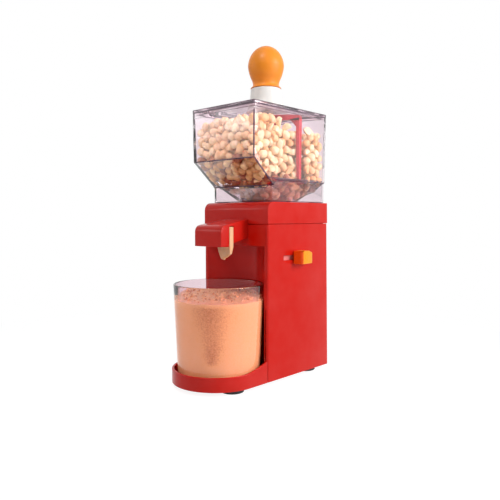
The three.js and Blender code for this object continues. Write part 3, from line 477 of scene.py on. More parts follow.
def add(tree, kind, inputs=(), **settings):
    """Adds a node with its settings and its inputs, each a value or a socket to link."""
    node = tree.nodes.new(kind)
    for name, value in settings.items():
        setattr(node, name, value)
    for socket, value in dict(inputs).items():
        if isinstance(value, bpy.types.NodeSocket):
            tree.links.new(value, node.inputs[socket])
        else:
            node.inputs[socket].default_value = value
    return node


def empty_material(name):
    """A material with nothing but its output."""
    material = bpy.data.materials.new(name)
    material.use_nodes = True
    material.node_tree.nodes.clear()
    output = add(material.node_tree, "ShaderNodeOutputMaterial")
    return material, material.node_tree, output.inputs["Surface"]


def placed(tree, stretch=(1, 1, 1)):
    """Object coordinates from the machine's own axes."""
    where = add(tree, "ShaderNodeTexCoord").outputs["Object"]
    mapping = add(
        tree, "ShaderNodeMapping", {"Vector": where, "Scale": stretch}, vector_type="TEXTURE"
    )
    mapping.inputs["Location"].default_value = ORIGIN
    return mapping.outputs["Vector"]


def clouds(tree, where, size, detail=3.0, rough=0.55):
    """Soft noise with patches of about the given size in metres."""
    inputs = {"Vector": where, "Scale": 1 / size, "Detail": detail, "Roughness": rough}
    return add(tree, "ShaderNodeTexNoise", inputs).outputs["Fac"]


def shades(tree, amount, stops):
    """Colours along a scale: pairs of a place from 0 to 1 and a colour."""
    ramp = add(tree, "ShaderNodeValToRGB", {"Fac": amount})
    while len(ramp.color_ramp.elements) < len(stops):
        ramp.color_ramp.elements.new(1)
    for element, (place, tone) in zip(ramp.color_ramp.elements, stops):
        element.position = place
        element.color = (*tone[:3], 1)
    return ramp.outputs["Color"]


def between(tree, amount, low, high):
    """Spreads the middle of a noise over a range."""
    inputs = {"Value": amount, "From Min": 0.3, "From Max": 0.7, "To Min": low, "To Max": high}
    return add(tree, "ShaderNodeMapRange", inputs).outputs["Result"]


def mixed(tree, share, first, second):
    """The first shader where the share is 0, and the second where it is 1."""
    return add(tree, "ShaderNodeMixShader", {0: share, 1: first, 2: second}).outputs[0]


def lighter(tone, share):
    """A colour brought nearer to white, or with a share below 0 nearer to black."""
    goal = 1 if share > 0 else 0
    return tuple(level + (goal - level) * abs(share) for level in tone)


def moulded(name, tone, rough, coat=0.0, drift=0.05, ripple=0.25, grain=0.0, shine=0.5):
    """Moulded plastic: colour that drifts a little, uneven gloss and a shallow ripple."""
    material, tree, surface = empty_material(name)
    where = placed(tree)
    broad = clouds(tree, where, 30 * MM)
    fine = clouds(tree, where, 1.6 * MM, detail=4)
    colours = [(0.3, lighter(tone, -drift)), (0.7, lighter(tone, drift / 2))]
    height = broad
    if grain:
        height = add(tree, "ShaderNodeMath", {0: fine, 1: grain, 2: broad}, operation="MULTIPLY_ADD")
        height = height.outputs[0]
    waves = add(tree, "ShaderNodeBump", {"Height": height, "Strength": ripple, "Distance": 0.4 * MM})
    shader = add(tree, "ShaderNodeBsdfPrincipled", {
        "Base Color": shades(tree, broad, colours),
        "Roughness": between(tree, fine, rough * 0.8, rough * 1.2),
        "Normal": waves.outputs["Normal"],
        "IOR": 1.5,
        "Specular IOR Level": shine,
        "Coat Weight": coat,
        "Coat Roughness": 0.06,
    })
    tree.links.new(shader.outputs["BSDF"], surface)
    return material


def metal(name, tone, rough, brushed=(1, 1, 1), dull=0.1):
    """Metal with fine tool marks and uneven polish."""
    material, tree, surface = empty_material(name)
    where = placed(tree, brushed)
    marks = clouds(tree, where, 0.7 * MM, detail=5)
    patches = clouds(tree, placed(tree), 12 * MM)
    bumps = add(tree, "ShaderNodeBump", {"Height": marks, "Strength": 0.25, "Distance": 0.05 * MM})
    shader = add(tree, "ShaderNodeBsdfPrincipled", {
        "Base Color": shades(tree, patches, [(0.3, lighter(tone, -dull)), (0.7, tone)]),
        "Roughness": between(tree, marks, rough * 0.7, rough * 1.3),
        "Normal": bumps.outputs["Normal"],
        "Metallic": 1.0,
    })
    tree.links.new(shader.outputs["BSDF"], surface)
    return material


def clear_plastic(name, tint, bending, gleam=0.0, rough=0.02, waves=0.02):
    """Clear plastic that bends what is seen through it, gleams and lets lamps through."""
    material, tree, surface = empty_material(name)
    where = placed(tree)
    broad = clouds(tree, where, 45 * MM, detail=1)
    fine = clouds(tree, where, 3 * MM)
    ripple = add(tree, "ShaderNodeBump", {"Height": broad, "Strength": waves, "Distance": 0.5 * MM})
    glass = add(tree, "ShaderNodeBsdfPrincipled", {
        "Base Color": shades(tree, broad, [(0.3, lighter(tint, -0.02)), (0.7, tint)]),
        "Roughness": between(tree, fine, rough * 0.7, rough * 1.3),
        "Normal": ripple.outputs["Normal"],
        "IOR": bending,
        "Transmission Weight": 1.0,
        "Coat Weight": gleam,
        "Coat Roughness": 0.14,
    })
    film = add(tree, "ShaderNodeBsdfTransparent", {"Color": (*tint, 1)})
    shadow = add(tree, "ShaderNodeLightPath").outputs["Is Shadow Ray"]
    tree.links.new(mixed(tree, shadow, glass.outputs["BSDF"], film.outputs["BSDF"]), surface)
    return material


def painted_edge_shade(name, tone):
    """Painted shade: a dark line along the clear plastic's edges, standing for the dark that refraction
    and internal reflection show there.
    """
    material, tree, surface = empty_material(name)
    broad = clouds(tree, placed(tree), 20 * MM)
    shader = add(tree, "ShaderNodeBsdfPrincipled", {
        "Base Color": shades(tree, broad, [(0.3, lighter(tone, -0.2)), (0.7, lighter(tone, 0.15))]),
        "Roughness": between(tree, broad, 0.15, 0.3),
        "Specular IOR Level": 0.15,
    })
    tree.links.new(shader.outputs["BSDF"], surface)
    return material


def food(name, stops, rough, grain, height, soft):
    """Nuts or nut butter, toned by the mesh's own tone attribute and flecked."""
    material, tree, surface = empty_material(name)
    where = placed(tree)
    tone = add(tree, "ShaderNodeAttribute", attribute_name="tone").outputs["Fac"]
    flecks = clouds(tree, where, grain, detail=5, rough=0.65)
    mixed = add(tree, "ShaderNodeMath", {0: flecks, 1: 0.5, 2: tone}, operation="MULTIPLY_ADD")
    bumps = add(tree, "ShaderNodeBump", {"Height": flecks, "Strength": 0.6, "Distance": height})
    shader = add(tree, "ShaderNodeBsdfPrincipled", {
        "Base Color": shades(tree, mixed.outputs[0], stops),
        "Roughness": between(tree, flecks, rough * 0.8, min(1, rough * 1.2)),
        "Normal": bumps.outputs["Normal"],
        "Subsurface Weight": soft,
        "Subsurface Radius": (1.0, 0.5, 0.25),
        "Subsurface Scale": 2 * MM,
    })
    tree.links.new(shader.outputs["BSDF"], surface)
    return material


def finish_of(name):
    """The named finish, made when it is first asked for."""
    title = f"{name}_finish"
    made = bpy.data.materials.get(title)
    return made or FINISHES[name](title, bpy.context.scene.grinder_finishes)


def lever_finish(name, tones):
    """Amber plastic with painted shade: a deeper orange painted on the lever's front face, for its shade
    and the red housing's reflection in it.
    """
    material = moulded(name, tones.lever, 0.3, shine=0.3)
    tree = material.node_tree
    where = next(n for n in tree.nodes if n.type == "TEX_COORD").outputs["Object"]
    # Painted shade: the lever's front, up to about 3 mm back, takes the deeper orange, which fades into
    # the plain amber behind it.
    front = span("switch_lever")[0].y + ORIGIN.y
    along = add(tree, "ShaderNodeSeparateXYZ", {0: where}).outputs["Y"]
    inputs = {"Value": along, "From Min": front + 1.2 * MM, "From Max": front + 3 * MM}
    share = add(tree, "ShaderNodeMapRange", inputs, interpolation_type="SMOOTHSTEP")
    shader = next(n for n in tree.nodes if n.type == "BSDF_PRINCIPLED")
    plain = shader.inputs["Base Color"].links[0].from_socket
    inputs = {0: share.outputs["Result"], 6: (*tones.lever_front_shade, 1), 7: plain}
    mix = add(tree, "ShaderNodeMix", inputs, data_type="RGBA")
    tree.links.new(mix.outputs[2], shader.inputs["Base Color"])
    return material


def nut_finish(name, tones):
    """Blanched nuts, from the brownest colour, which is also the painted shade of the nuts on the slanted
    walls, to pale.
    """
    stops = [(0, tones.nut_brown_and_shade), (0.3, tones.nut_dark), (0.85, tones.nut_pale)]
    return food(name, stops, 0.5, 2.5 * MM, 0.3 * MM, 0.2)


def butter_finish(name, tones):
    """Nut butter with darker flecks and crumbs; the dark colour also carries the painted dark reflection
    on the butter's side.
    """
    stops = [(0.2, tones.butter_flecks_and_dark_reflection), (0.42, tones.butter), (0.95, lighter(tones.butter, 0.25))]
    return food(name, stops, 0.38, 1.4 * MM, 0.25 * MM, 0.15)


FINISHES = {
    "red_gloss": lambda name, tones: moulded(
        name, tones.shell, 0.2, drift=0.03, ripple=0.06, shine=0.16
    ),
    "clear_cup_wall": lambda name, tones: clear_plastic(name, tones.cup_tint, 1.45),
    "clear_wall": lambda name, tones: clear_plastic(name, tones.tint, 1.18, gleam=1.0),
    "clear_lid_plate": lambda name, tones: clear_plastic(name, tones.tint, 1.06),
    "clear_edge": lambda name, tones: painted_edge_shade(name, tones.rim),
    "orange_satin": lambda name, tones: moulded(
        name, tones.knob, 0.42, ripple=0.15, grain=0.2, shine=0.3
    ),
    "amber_lever": lever_finish,
    "pink_slider": lambda name, tones: moulded(name, tones.slider, 0.4),
    "white_satin": lambda name, tones: moulded(name, tones.collar, 0.35, drift=0.02),
    "crimson_gloss": lambda name, tones: moulded(name, tones.stirrer, 0.22, coat=0.2),
    "blanched_nuts": nut_finish,
    "nut_butter": butter_finish,
    "cream_nylon": lambda name, tones: moulded(name, linear(233, 229, 216), 0.5, grain=0.5),
    "black_plastic": lambda name, tones: moulded(name, linear(30, 30, 32), 0.45, grain=0.6),
    "black_rubber": lambda name, tones: moulded(name, linear(20, 20, 21), 0.75, grain=1.0),
    "ground_steel": lambda name, tones: metal(name, linear(190, 193, 198), 0.28, (1, 8, 1)),
    "zinc_steel": lambda name, tones: metal(name, linear(164, 168, 172), 0.38, dull=0.25),
    "oiled_bronze": lambda name, tones: metal(name, linear(176, 130, 74), 0.34),
}


# Housing, base and spout

def rear_at(height):
    """Y of the leaning rear wall's outer face at a height."""
    sizes = bpy.context.scene.grinder_housing
    low, high = span("lower_housing")
    top = span("upper_housing")[1].z
    return high.y - sizes.lean * (height - low.z) / (top - low.z)


def housing_block(inset, bottom, top, corner=0.0):
    """The housing's leaning block between two heights, drawn in by the inset."""
    low, high = span("lower_housing")
    bm = block((low.x + inset, inset, bottom), (high.x - inset, high.y, top))
    for vertex in bm.verts:
        if vertex.co.y > inset + WELD:
            vertex.co.y = rear_at(vertex.co.z) - inset
    if corner:
        bevel(bm, upright_edges(bm), corner, 6)
    return bm


def cup_axis():
    """Y of the cup's axis and the radius of its rim."""
    low, high = span("cup")
    return middle_of("cup")[1], (high.x - low.x) / 2


def bay_cutter(extra, bottom, top):
    """The round bay behind the cup, widened by the extra."""
    middle, rim = cup_axis()
    radius = rim + bpy.context.scene.grinder_housing.cup_room + extra
    return rod(radius, (0, middle, bottom), (0, middle, top), 200)


def grind_height():
    """Height of the grinder's axis."""
    return middle_of("grinding_ring")[2]


def screw_posts():
    """Hollow posts for the base screws, each with a rib to the side wall."""
    wall = bpy.context.scene.grinder_housing.wall
    half = span("lower_housing")[1].x - wall
    posts, holes = [], []
    post, above_tip = 4.2 * MM, 8.7 * MM
    bottom = span("base_tray")[0].z + PLATE + SEAT
    for corner in CORNERS:
        x, y, _ = middle_of(f"base_screw_{corner}")
        tip = span(f"base_screw_{corner}")[1].z
        top = tip + above_tip
        posts.append(rod(post, (x, y, bottom), (x, y, top), 32))
        side = math.copysign(half + wall / 2, x)
        posts.append(block((min(x, side), y - MM, bottom), (max(x, side), y + MM, top)))
        holes.append(rod(SCREW_HOLE, (x, y, bottom - PAST), (x, y, tip + PAST), 24))
    return posts, holes


def inner_ribs():
    """Guides for the gear plate and shelves for the switch, on the side walls."""
    sizes = bpy.context.scene.grinder_housing
    half = span("lower_housing")[1].x - sizes.wall
    plate_low, plate_high = span("gear_plate")
    switch_low, switch_high = span("switch_body")
    seam = span("lower_housing")[1].z
    ribs = []
    for side in (-1, 1):
        ends = sorted((side * (half - sizes.wall), side * (half + sizes.wall / 2)))
        bottom, top = plate_low.z - 4 * MM, seam - 6 * MM
        for front in (plate_low.y - 2 * MM - SEAT, plate_high.y + SEAT):
            ribs.append(block((ends[0], front, bottom), (ends[1], front + 2 * MM, top)))
        low = (ends[0], plate_low.y - PAST, bottom)
        ribs.append(block(low, (ends[1], plate_high.y + PAST, plate_low.z - SEAT)))
    for bottom in (switch_low.z - SEAT - 2 * MM, switch_high.z + SEAT):
        low = (switch_low.x + 5 * MM, switch_low.y - 2 * MM, bottom)
        ribs.append(block(low, (half + sizes.wall / 2, switch_high.y + 2 * MM, bottom + 2 * MM)))
    return ribs


def gland_seat():
    """The boss inside the rear wall for the cord's gland, and the cutters for its pocket."""
    low, high = span("cord_inlet")
    x, _, z = middle_of("cord_inlet")
    boss_radius, boss_depth, pocket_depth, barrel = 9.5 * MM, 6.5 * MM, 3.7 * MM, 4.3 * MM
    face = rear_at(z)
    inside = face - boss_depth
    boss = rod(boss_radius, (x, inside, z), (x, face - MM, z), 48)
    flange = (high.x - low.x) / 2 + SEAT
    pocket = rod(flange, (x, face - pocket_depth, z), (x, face + 5 * PAST, z), 64)
    hole = rod(barrel, (x, inside - PAST, z), (x, face, z), 48)
    return boss, [pocket, hole]


def vents():
    """Level slots low in the rear wall, with rounded ends."""
    sizes = bpy.context.scene.grinder_housing
    count, pitch, half, tall = 6, 6 * MM, 16 * MM, 2.6 * MM
    lowest = span("lower_housing")[0].z + 40 * MM
    slots = []
    for i in range(count):
        z = lowest + i * pitch
        low = (-half, rear_at(z) - sizes.wall - 2 * PAST, z)
        slot = block(low, (half, rear_at(z) + 5 * PAST, z + tall))
        ends = [e for e in slot.edges if abs((e.verts[1].co - e.verts[0].co).y) > 5 * PAST]
        bevel(slot, ends, 1.25 * MM, 6)
        slots.append(slot)
    return slots


def lower_shell():
    """The housing below the seam: a hollow block with the bay, the switch's slot and the vents."""
    sizes = bpy.context.scene.grinder_housing
    low, high = span("lower_housing")
    bay_top = span("spout")[0].z
    inside = high.x - sizes.wall
    hollow = cut(
        housing_block(sizes.wall, low.z - PAST, high.z + PAST, MM),
        bay_cutter(sizes.wall, low.z - 2 * PAST, bay_top + sizes.wall),
    )
    shell = cut(
        housing_block(0, low.z, high.z, sizes.corner),
        bay_cutter(0, low.z - PAST, bay_top),
        hollow,
    )
    posts, holes = screw_posts()
    boss, gland_cutters = gland_seat()
    shell = join(shell, boss, *posts, *inner_ribs())
    floor = span("base_tray")[0].z + PLATE
    rebate = block(
        (-inside, -PAST, low.z - PAST), (inside, rear_at(low.z) - sizes.wall, floor + SEAT)
    )
    axis = grind_height()
    outlet = rod(OUTLET, (0, -PAST, axis), (0, sizes.wall + PAST, axis))
    front = span("switch_lever")[0].y
    middle = middle_of("switch_lever")[2]
    tall = bpy.context.scene.grinder_turned.slot_tall / 2
    slot = block(
        (inside - PAST, front - 14 * MM, middle - tall), (high.x + PAST, front + 17 * MM, middle + tall)
    )
    return cut(shell, rebate, *gland_cutters, gather([outlet, slot, *holes, *vents()]))


def upper_shell():
    """The head: a shallow lid with a rounded front, a lip that reaches into the housing and a hole."""
    sizes = bpy.context.scene.grinder_housing
    low, high = span("upper_housing")
    seam = span("lower_housing")[1].z + SEAT
    outer = housing_block(0, seam, high.z)
    front_top = edges_where(outer, lambda co: co.y < WELD and co.z > high.z - WELD)
    bevel(outer, front_top, sizes.head_round, 14)
    sides = edges_where(outer, lambda co: abs(co.x) > high.x - WELD)
    sides = [e for e in sides if any(v.co.z > seam + WELD for v in e.verts)]
    bevel(outer, sides, sizes.corner, 6)
    inner_top = high.z - sizes.head_plate
    inner = housing_block(sizes.wall, seam - PAST, inner_top)
    edge = edges_where(inner, lambda co: co.y < sizes.wall + WELD and co.z > inner_top - WELD)
    bevel(inner, edge, sizes.head_round - sizes.wall, 10)
    shell = cut(outer, inner)
    lip_out = sizes.wall + SEAT
    lip_in = lip_out + 1.5 * MM
    lip_top = seam + 2 * MM
    lip = cut(
        housing_block(lip_out, low.z, lip_top, MM),
        housing_block(lip_in, low.z - PAST, lip_top + PAST),
    )
    root = cut(
        housing_block(sizes.wall / 2, lip_top - PAST, lip_top, MM),
        housing_block(lip_in, lip_top - 2 * PAST, lip_top + PAST),
    )
    shell = join(shell, join(lip, root))
    room = sizes.neck_room
    across = THROAT + room
    rear = span("grinding_chamber")[1].y - 6 * MM + room + SEAT
    hole = block((-across, 28 * MM - room, inner_top - PAST), (across, rear, high.z + PAST))
    axis = grind_height()
    outlet = rod(OUTLET, (0, -PAST, axis), (0, lip_in + PAST, axis))
    return cut(shell, hole, outlet)


def tray_outline(half, rear):
    """The base from above: straight sides and a round front, in X and Y."""
    low, high = span("base_tray")
    middle = low.y + high.x
    return [(half, rear), *arc((0, middle), half, 0, -180, 96), (-half, rear)]


def tray():
    """Base plate and tray in one, with a rim that sweeps up to the housing."""
    sizes = bpy.context.scene.grinder_housing
    low, high = span("base_tray")
    floor = low.z + PLATE
    half = high.x
    inside = half - sizes.wall - SEAT
    top = sizes.tray_rear + PAST
    rim = cut(
        extruded(tray_outline(half, -SEAT), 2, low.z, top),
        extruded(tray_outline(half - sizes.tray_wall, PAST), 2, floor, top + PAST),
    )
    front = low.y - PAST
    sweep = [
        (front, sizes.tray_front),
        *bend(
            (-sizes.sweep_start, sizes.tray_front), (-sizes.sweep_turn, sizes.tray_front),
            (PAST, sizes.tray_rear), 32,
        ),
        (PAST, top + 2 * PAST),
        (front, top + 2 * PAST),
    ]
    rim = cut(rim, extruded(sweep, 0, -half - PAST, half + PAST))
    plate = block((-inside, -PAST, low.z), (inside, high.y, floor))
    bevel(plate, upright_edges(plate), MM, 3)
    cutters, narrow = [], []
    for corner in CORNERS:
        screw_low, screw_high = span(f"base_screw_{corner}")
        x, y, _ = middle_of(f"base_screw_{corner}")
        head = (screw_high.x - screw_low.x) / 2 + SEAT
        cutters.append(rod(head, (x, y, low.z - PAST), (x, y, low.z + 2.3 * MM), 32))
        narrow.append(rod(SCREW_HOLE, (x, y, low.z + MM), (x, y, floor + PAST), 24))
        x, y, _ = middle_of(f"foot_{corner}")
        stem_top = span(f"foot_{corner}")[1].z + SEAT
        cutters.append(rod(3.8 * MM, (x, y, low.z - PAST), (x, y, stem_top), 32))
    middle, rim_radius = cup_axis()
    bay = middle + rim_radius + sizes.cup_room + sizes.wall
    for i in range(-2, 3):
        slot_low = (i * 7 * MM - 1.4 * MM, bay + 11 * MM, low.z - PAST)
        slot_high = (i * 7 * MM + 1.4 * MM, high.y - 33.2 * MM, floor + PAST)
        slot = block(slot_low, slot_high)
        bevel(slot, upright_edges(slot), 1.3 * MM, 6)
        cutters.append(slot)
    return cut(join(rim, plate), gather(cutters), gather(narrow))


def spout_side(inset, sizes, low, high):
    """Side outline of the spout's outside, or of its hollow when there is an inset, in Y and Z."""
    slope = sizes.spout_fall / -low.y
    nose_rear = low.y + sizes.spout_nose
    axis = grind_height()
    root = axis - sizes.channel_foot

    def roof(y):
        return high.z + y * slope - inset

    def floor(y):
        return root + 0.22 * y

    nose = bend(
        (nose_rear, roof(nose_rear)), (low.y + inset, roof(low.y)),
        (low.y + inset, roof(low.y) + inset - sizes.spout_nose), 12,
    )
    if inset:
        rear = -inset - SEAT
        under = low.z - PAST
        skin = 2 * MM
        return [
            (rear, root + skin), (rear, high.z - inset), *nose, (low.y + inset, under),
            (-sizes.slot_rear, under), (-sizes.slot_rear, floor(-sizes.slot_rear) + skin),
        ]
    return [
        (-SEAT, root), (-SEAT, high.z), *nose, (low.y, low.z), (-sizes.slot_front, low.z),
        (-sizes.slot_front, floor(-sizes.slot_rear)), (-sizes.slot_rear, floor(-sizes.slot_rear)),
    ]


def spout_shell():
    """The spout: a channel with a floor, then a slot, then the hood that turns the butter down."""
    sizes = bpy.context.scene.grinder_housing
    low, high = span("spout")
    half = high.x
    axis = grind_height()
    outer = extruded(spout_side(0, sizes, low, high), 0, -half, half)
    outline = [e for e in outer.edges if abs(e.verts[0].co.x - e.verts[1].co.x) < WELD]
    shown = [e for e in outline if any(v.co.y < -WELD - SEAT for v in e.verts)]
    bevel(outer, shown, sizes.edge * 1.8, 4)
    hollow = extruded(
        spout_side(sizes.wall, sizes, low, high), 0, -half + sizes.wall, half - sizes.wall
    )
    slope = sizes.spout_fall / -low.y
    slot = extruded([
        (-sizes.slot_front, low.z - PAST), (-sizes.slot_rear, low.z - PAST),
        (-sizes.slot_rear, high.z - sizes.slot_rear * slope - sizes.wall),
        (-sizes.slot_front, high.z - sizes.slot_front * slope - sizes.wall),
    ], 0, -half - PAST, half + PAST)
    inlet = span("grinding_ring")[0].y
    spigot = rod(OUTLET - SEAT, (0, -sizes.wall / 2, axis), (0, inlet - SEAT, axis))
    through = rod(6.1 * MM, (0, -2 * sizes.wall, axis), (0, inlet + PAST, axis))
    return cut(join(outer, spigot), hollow, slot, through)


class GRINDER_OT_housing(bpy.types.Operator):
    """Makes the housing's lower and upper shells"""

    bl_idname = "grinder.housing"
    bl_label = "Housing"

    def execute(self, context):
        edge = context.scene.grinder_housing.edge
        red = ["red_gloss"]
        for name, shape, node, slide in (
            ("lower_shell", lower_shell, "lower_housing", False),
            ("upper_shell", upper_shell, "upper_housing", True),
        ):
            piece(name, shape(), "base", red, [node], edge, slide=slide, within=node)
        return {"FINISHED"}


class GRINDER_OT_tray(bpy.types.Operator):
    """Makes the base plate with the tray in front"""

    bl_idname = "grinder.tray"
    bl_label = "Tray"

    def execute(self, context):
        edge = context.scene.grinder_housing.edge * 1.4
        piece("tray_shell", tray(), "base", ["red_gloss"], ["base_tray"], edge, 3)
        return {"FINISHED"}


class GRINDER_OT_spout(bpy.types.Operator):
    """Makes the spout with its slot and hood"""

    bl_idname = "grinder.spout"
    bl_label = "Spout"

    def execute(self, context):
        edge = context.scene.grinder_housing.edge * 0.4
        piece("spout_shell", spout_shell(), "base", ["red_gloss"], ["spout"], edge)
        return {"FINISHED"}


# Clear cup, hopper and lid

def clear_cup():
    """The tapered cup, turned, with a rounded rim and a ring to stand on."""
    sizes = bpy.context.scene.grinder_clear
    low, high = span("cup")
    middle, rim = cup_axis()
    foot = rim - sizes.cup_taper
    wall = sizes.cup_wall
    half = wall / 2
    lip = arc((rim - half, high.z - half), half, 0, 180, 8)
    floor = low.z + sizes.cup_floor
    profile = [
        (0, low.z + 0.6 * MM),
        (foot - 5 * MM, low.z + 0.6 * MM),
        (foot - 4.4 * MM, low.z),
        *arc((foot - 1.5 * MM, low.z + 1.5 * MM), 1.5 * MM, -90, 0, 6),
        *lip,
        *arc((foot - wall - 2 * MM, floor + 2 * MM), 2 * MM, 0, -90, 6),
        (0, floor),
    ]
    return turned(profile, (0, middle, 0), 144)


def butter_lumps(place):
    """How much the butter's uneven top rises at a place."""
    return 1.5 * MM * noise.fractal(place / (7 * MM), 0.9, 2.2, 4)


def butter_swell(out):
    """How much the butter's top swells, from the share of the way out to the wall."""
    return 1.6 * MM * (1 - out**4)


def butter_inside():
    """Nut butter that fills the cup, with a crumbly top, and the tone of each vertex, which holds a
    painted dark reflection on the side.
    """
    sizes = bpy.context.scene.grinder_clear
    low, high = span("cup")
    middle, rim = cup_axis()
    cling = 0.12 * MM  # how far it reaches into the clear wall, so that no air shows between them
    floor = low.z + sizes.cup_floor - cling
    level = sizes.butter
    foot = rim - sizes.cup_taper - sizes.cup_wall + cling
    round_top = floor + 2 * MM
    slope = sizes.cup_taper / (high.z - round_top)
    side = foot + slope * (level - round_top)
    profile = [
        (0, floor),
        *arc((foot - 2 * MM, round_top), 2 * MM, -90, 0, 5),
        *[(foot + slope * (z - round_top), z) for z in np.linspace(round_top, level, 18)[1:]],
    ]
    rings = 24
    profile += [(side * (1 - (i / rings)), level) for i in range(1, rings)] + [(0, level)]
    bm = turned(profile, (0, middle, 0), 144)
    tone = bm.verts.layers.float.new("tone")
    for vertex in bm.verts:
        place = vertex.co
        top = place.z > level - WELD
        out = math.hypot(place.x, place.y - middle) / side
        if top:
            vertex.co.z += butter_lumps(place) * (1 - 0.6 * out**6) + butter_swell(out)
        # Painted reflection: a soft dark V on the side that faces the view, a little to its left and
        # widening upwards, lowers the tone.
        turn = math.atan2(place.x, middle - place.y) - math.radians(36)
        spread = 0.16 + 0.5 * max(0, place.z - 30 * MM) / level
        painted_dark_reflection = 0.2 * math.exp(-((turn / spread) ** 2)) * (place.z > 26 * MM)
        shade = 0.24 - painted_dark_reflection + 0.06 * noise.noise(place / (25 * MM))
        vertex[tone] = 0.32 if top else shade
    return bm


def butter_crumbs(bm):
    """Crumbs scattered over the butter's top."""
    sizes = bpy.context.scene.grinder_clear
    middle, rim = cup_axis()
    random = np.random.default_rng(11)
    tone = bm.verts.layers.float["tone"]
    for _ in range(260):
        angle = random.uniform(0, math.tau)
        out = (rim - 7 * MM) * math.sqrt(random.uniform(0, 1))
        size = random.uniform(0.5, 1.7) * MM
        place = Vector((out * math.cos(angle), middle + out * math.sin(angle), sizes.butter))
        place.z += butter_lumps(place) + butter_swell(out / rim) + 0.1 * size
        shape = Matrix.Diagonal((*random.uniform(0.7, 1.3, 3), 1))
        made = bmesh.ops.create_icosphere(
            bm, subdivisions=1, radius=size, matrix=Matrix.Translation(place) @ shape
        )
        shade = random.uniform(-0.25, 0.4)
        for vertex in made["verts"]:
            vertex[tone] = shade
    return bm


def funnel_planes():
    """The hopper's inside as planes: each a normal into the hollow and a point on the plane."""
    sizes = bpy.context.scene.grinder_clear
    low, high = span("hopper")
    wall = sizes.hopper_wall
    edge = high.z - 70.3 * MM  # lower edge of the side walls
    bend_height = high.z - 51.5 * MM
    mouth = high.x - wall - 1.7 * MM  # the side walls, at the bottom of their draft
    front = low.y + wall + 0.9 * MM
    foot = 10.5 * MM + wall  # where the slanted front ends
    rear = high.y - wall - 0.6 * MM
    neck = high.z - 87 * MM  # lower end of the funnel
    throat_front, throat_rear = 28 * MM, 64 * MM
    ridge = 6 * MM  # where the funnel's front face starts
    points = [
        ((1, 0, 0), (-mouth, 0, 0)),
        ((-1, 0, 0), (mouth, 0, 0)),
        ((0, 1, 0), (0, front, 0)),
        ((0, -1, 0), (0, rear, 0)),
    ]
    slant = Vector((0, bend_height - (edge - 4.7 * MM), foot - front - 3 * MM)).normalized()
    points.append((tuple(slant), (0, front, bend_height)))
    drop = edge - neck
    for side in (-1, 1):
        normal = Vector((-side * drop, 0, mouth - THROAT)).normalized()
        points.append((tuple(normal), (side * mouth, 0, edge)))
    points.append((tuple(Vector((0, -drop, rear - throat_rear)).normalized()), (0, rear, edge)))
    points.append((tuple(Vector((0, drop, throat_front - ridge)).normalized()), (0, ridge, edge)))
    points.append(((0, 0, 1), (0, 0, neck + 2 * MM)))
    normals = np.array([normal for normal, _ in points])
    places = np.array([place for _, place in points])
    return normals, np.einsum("ij,ij->i", normals, places)


def heap_top(places, reach):
    """Height of the heap at the given places: a mound in front, flatter where the stirrer passes."""
    sizes = bpy.context.scene.grinder_clear
    hub, arm = span("stirrer_arm")[1].z - 9 * MM, span("stirrer_arm")[1].z - 5.7 * MM
    away = np.hypot(places[:, 0] - 20 * MM, places[:, 1] - 5 * MM)
    top = sizes.heap - sizes.heap_fall * (away / (80 * MM)) ** 2
    top = np.where(reach < 41 * MM, np.minimum(top, arm), top)
    return np.where(reach < 12 * MM, np.minimum(top, hub), top)


def bar_reach():
    """Distances of the stirrer's bar from its axis, inside and outside."""
    outer = span("hopper")[1].x - BAR_GAP
    return outer - bpy.context.scene.grinder_turned.bar_thick, outer


def bar_way():
    """Inside and outside distance of the ring that the bar sweeps, with a little room."""
    inner, outer = bar_reach()
    half = bpy.context.scene.grinder_turned.arm_width / 2
    return inner - STIR_ROOM, math.hypot(outer, half) + STIR_ROOM


def stirrer_way():
    """What the turning stirrer sweeps: its axis, the bar's ring and the undersides, with room."""
    sizes = bpy.context.scene.grinder_turned
    low, high = span("stirrer_arm")
    inner, outer = bar_way()
    return {
        "axis": stir_axis(),
        "inner": inner,
        "outer": outer,
        "foot": low.z - STIR_ROOM,
        "under": high.z - sizes.arm_thick - STIR_ROOM,
        "hub": sizes.hub + STIR_ROOM,
    }


def clear_of_stirrer(spot, way, beyond):
    """The spot moved out of the way of the turning stirrer, beyond the bar's ring or inside it."""
    out = Vector((spot.x, spot.y - way["axis"]))
    reach = out.length
    if spot.z > way["foot"] and way["inner"] < reach < way["outer"]:
        out *= way["outer" if beyond else "inner"] / reach
        reach = out.length
    top = spot.z
    if reach < way["outer"]:
        top = way["under"] + min(0, way["inner"] - 7 * MM - reach)
    if reach < way["hub"]:
        top = way["under"] - 3.5 * MM
    return Vector((out.x, out.y + way["axis"], min(spot.z, top)))


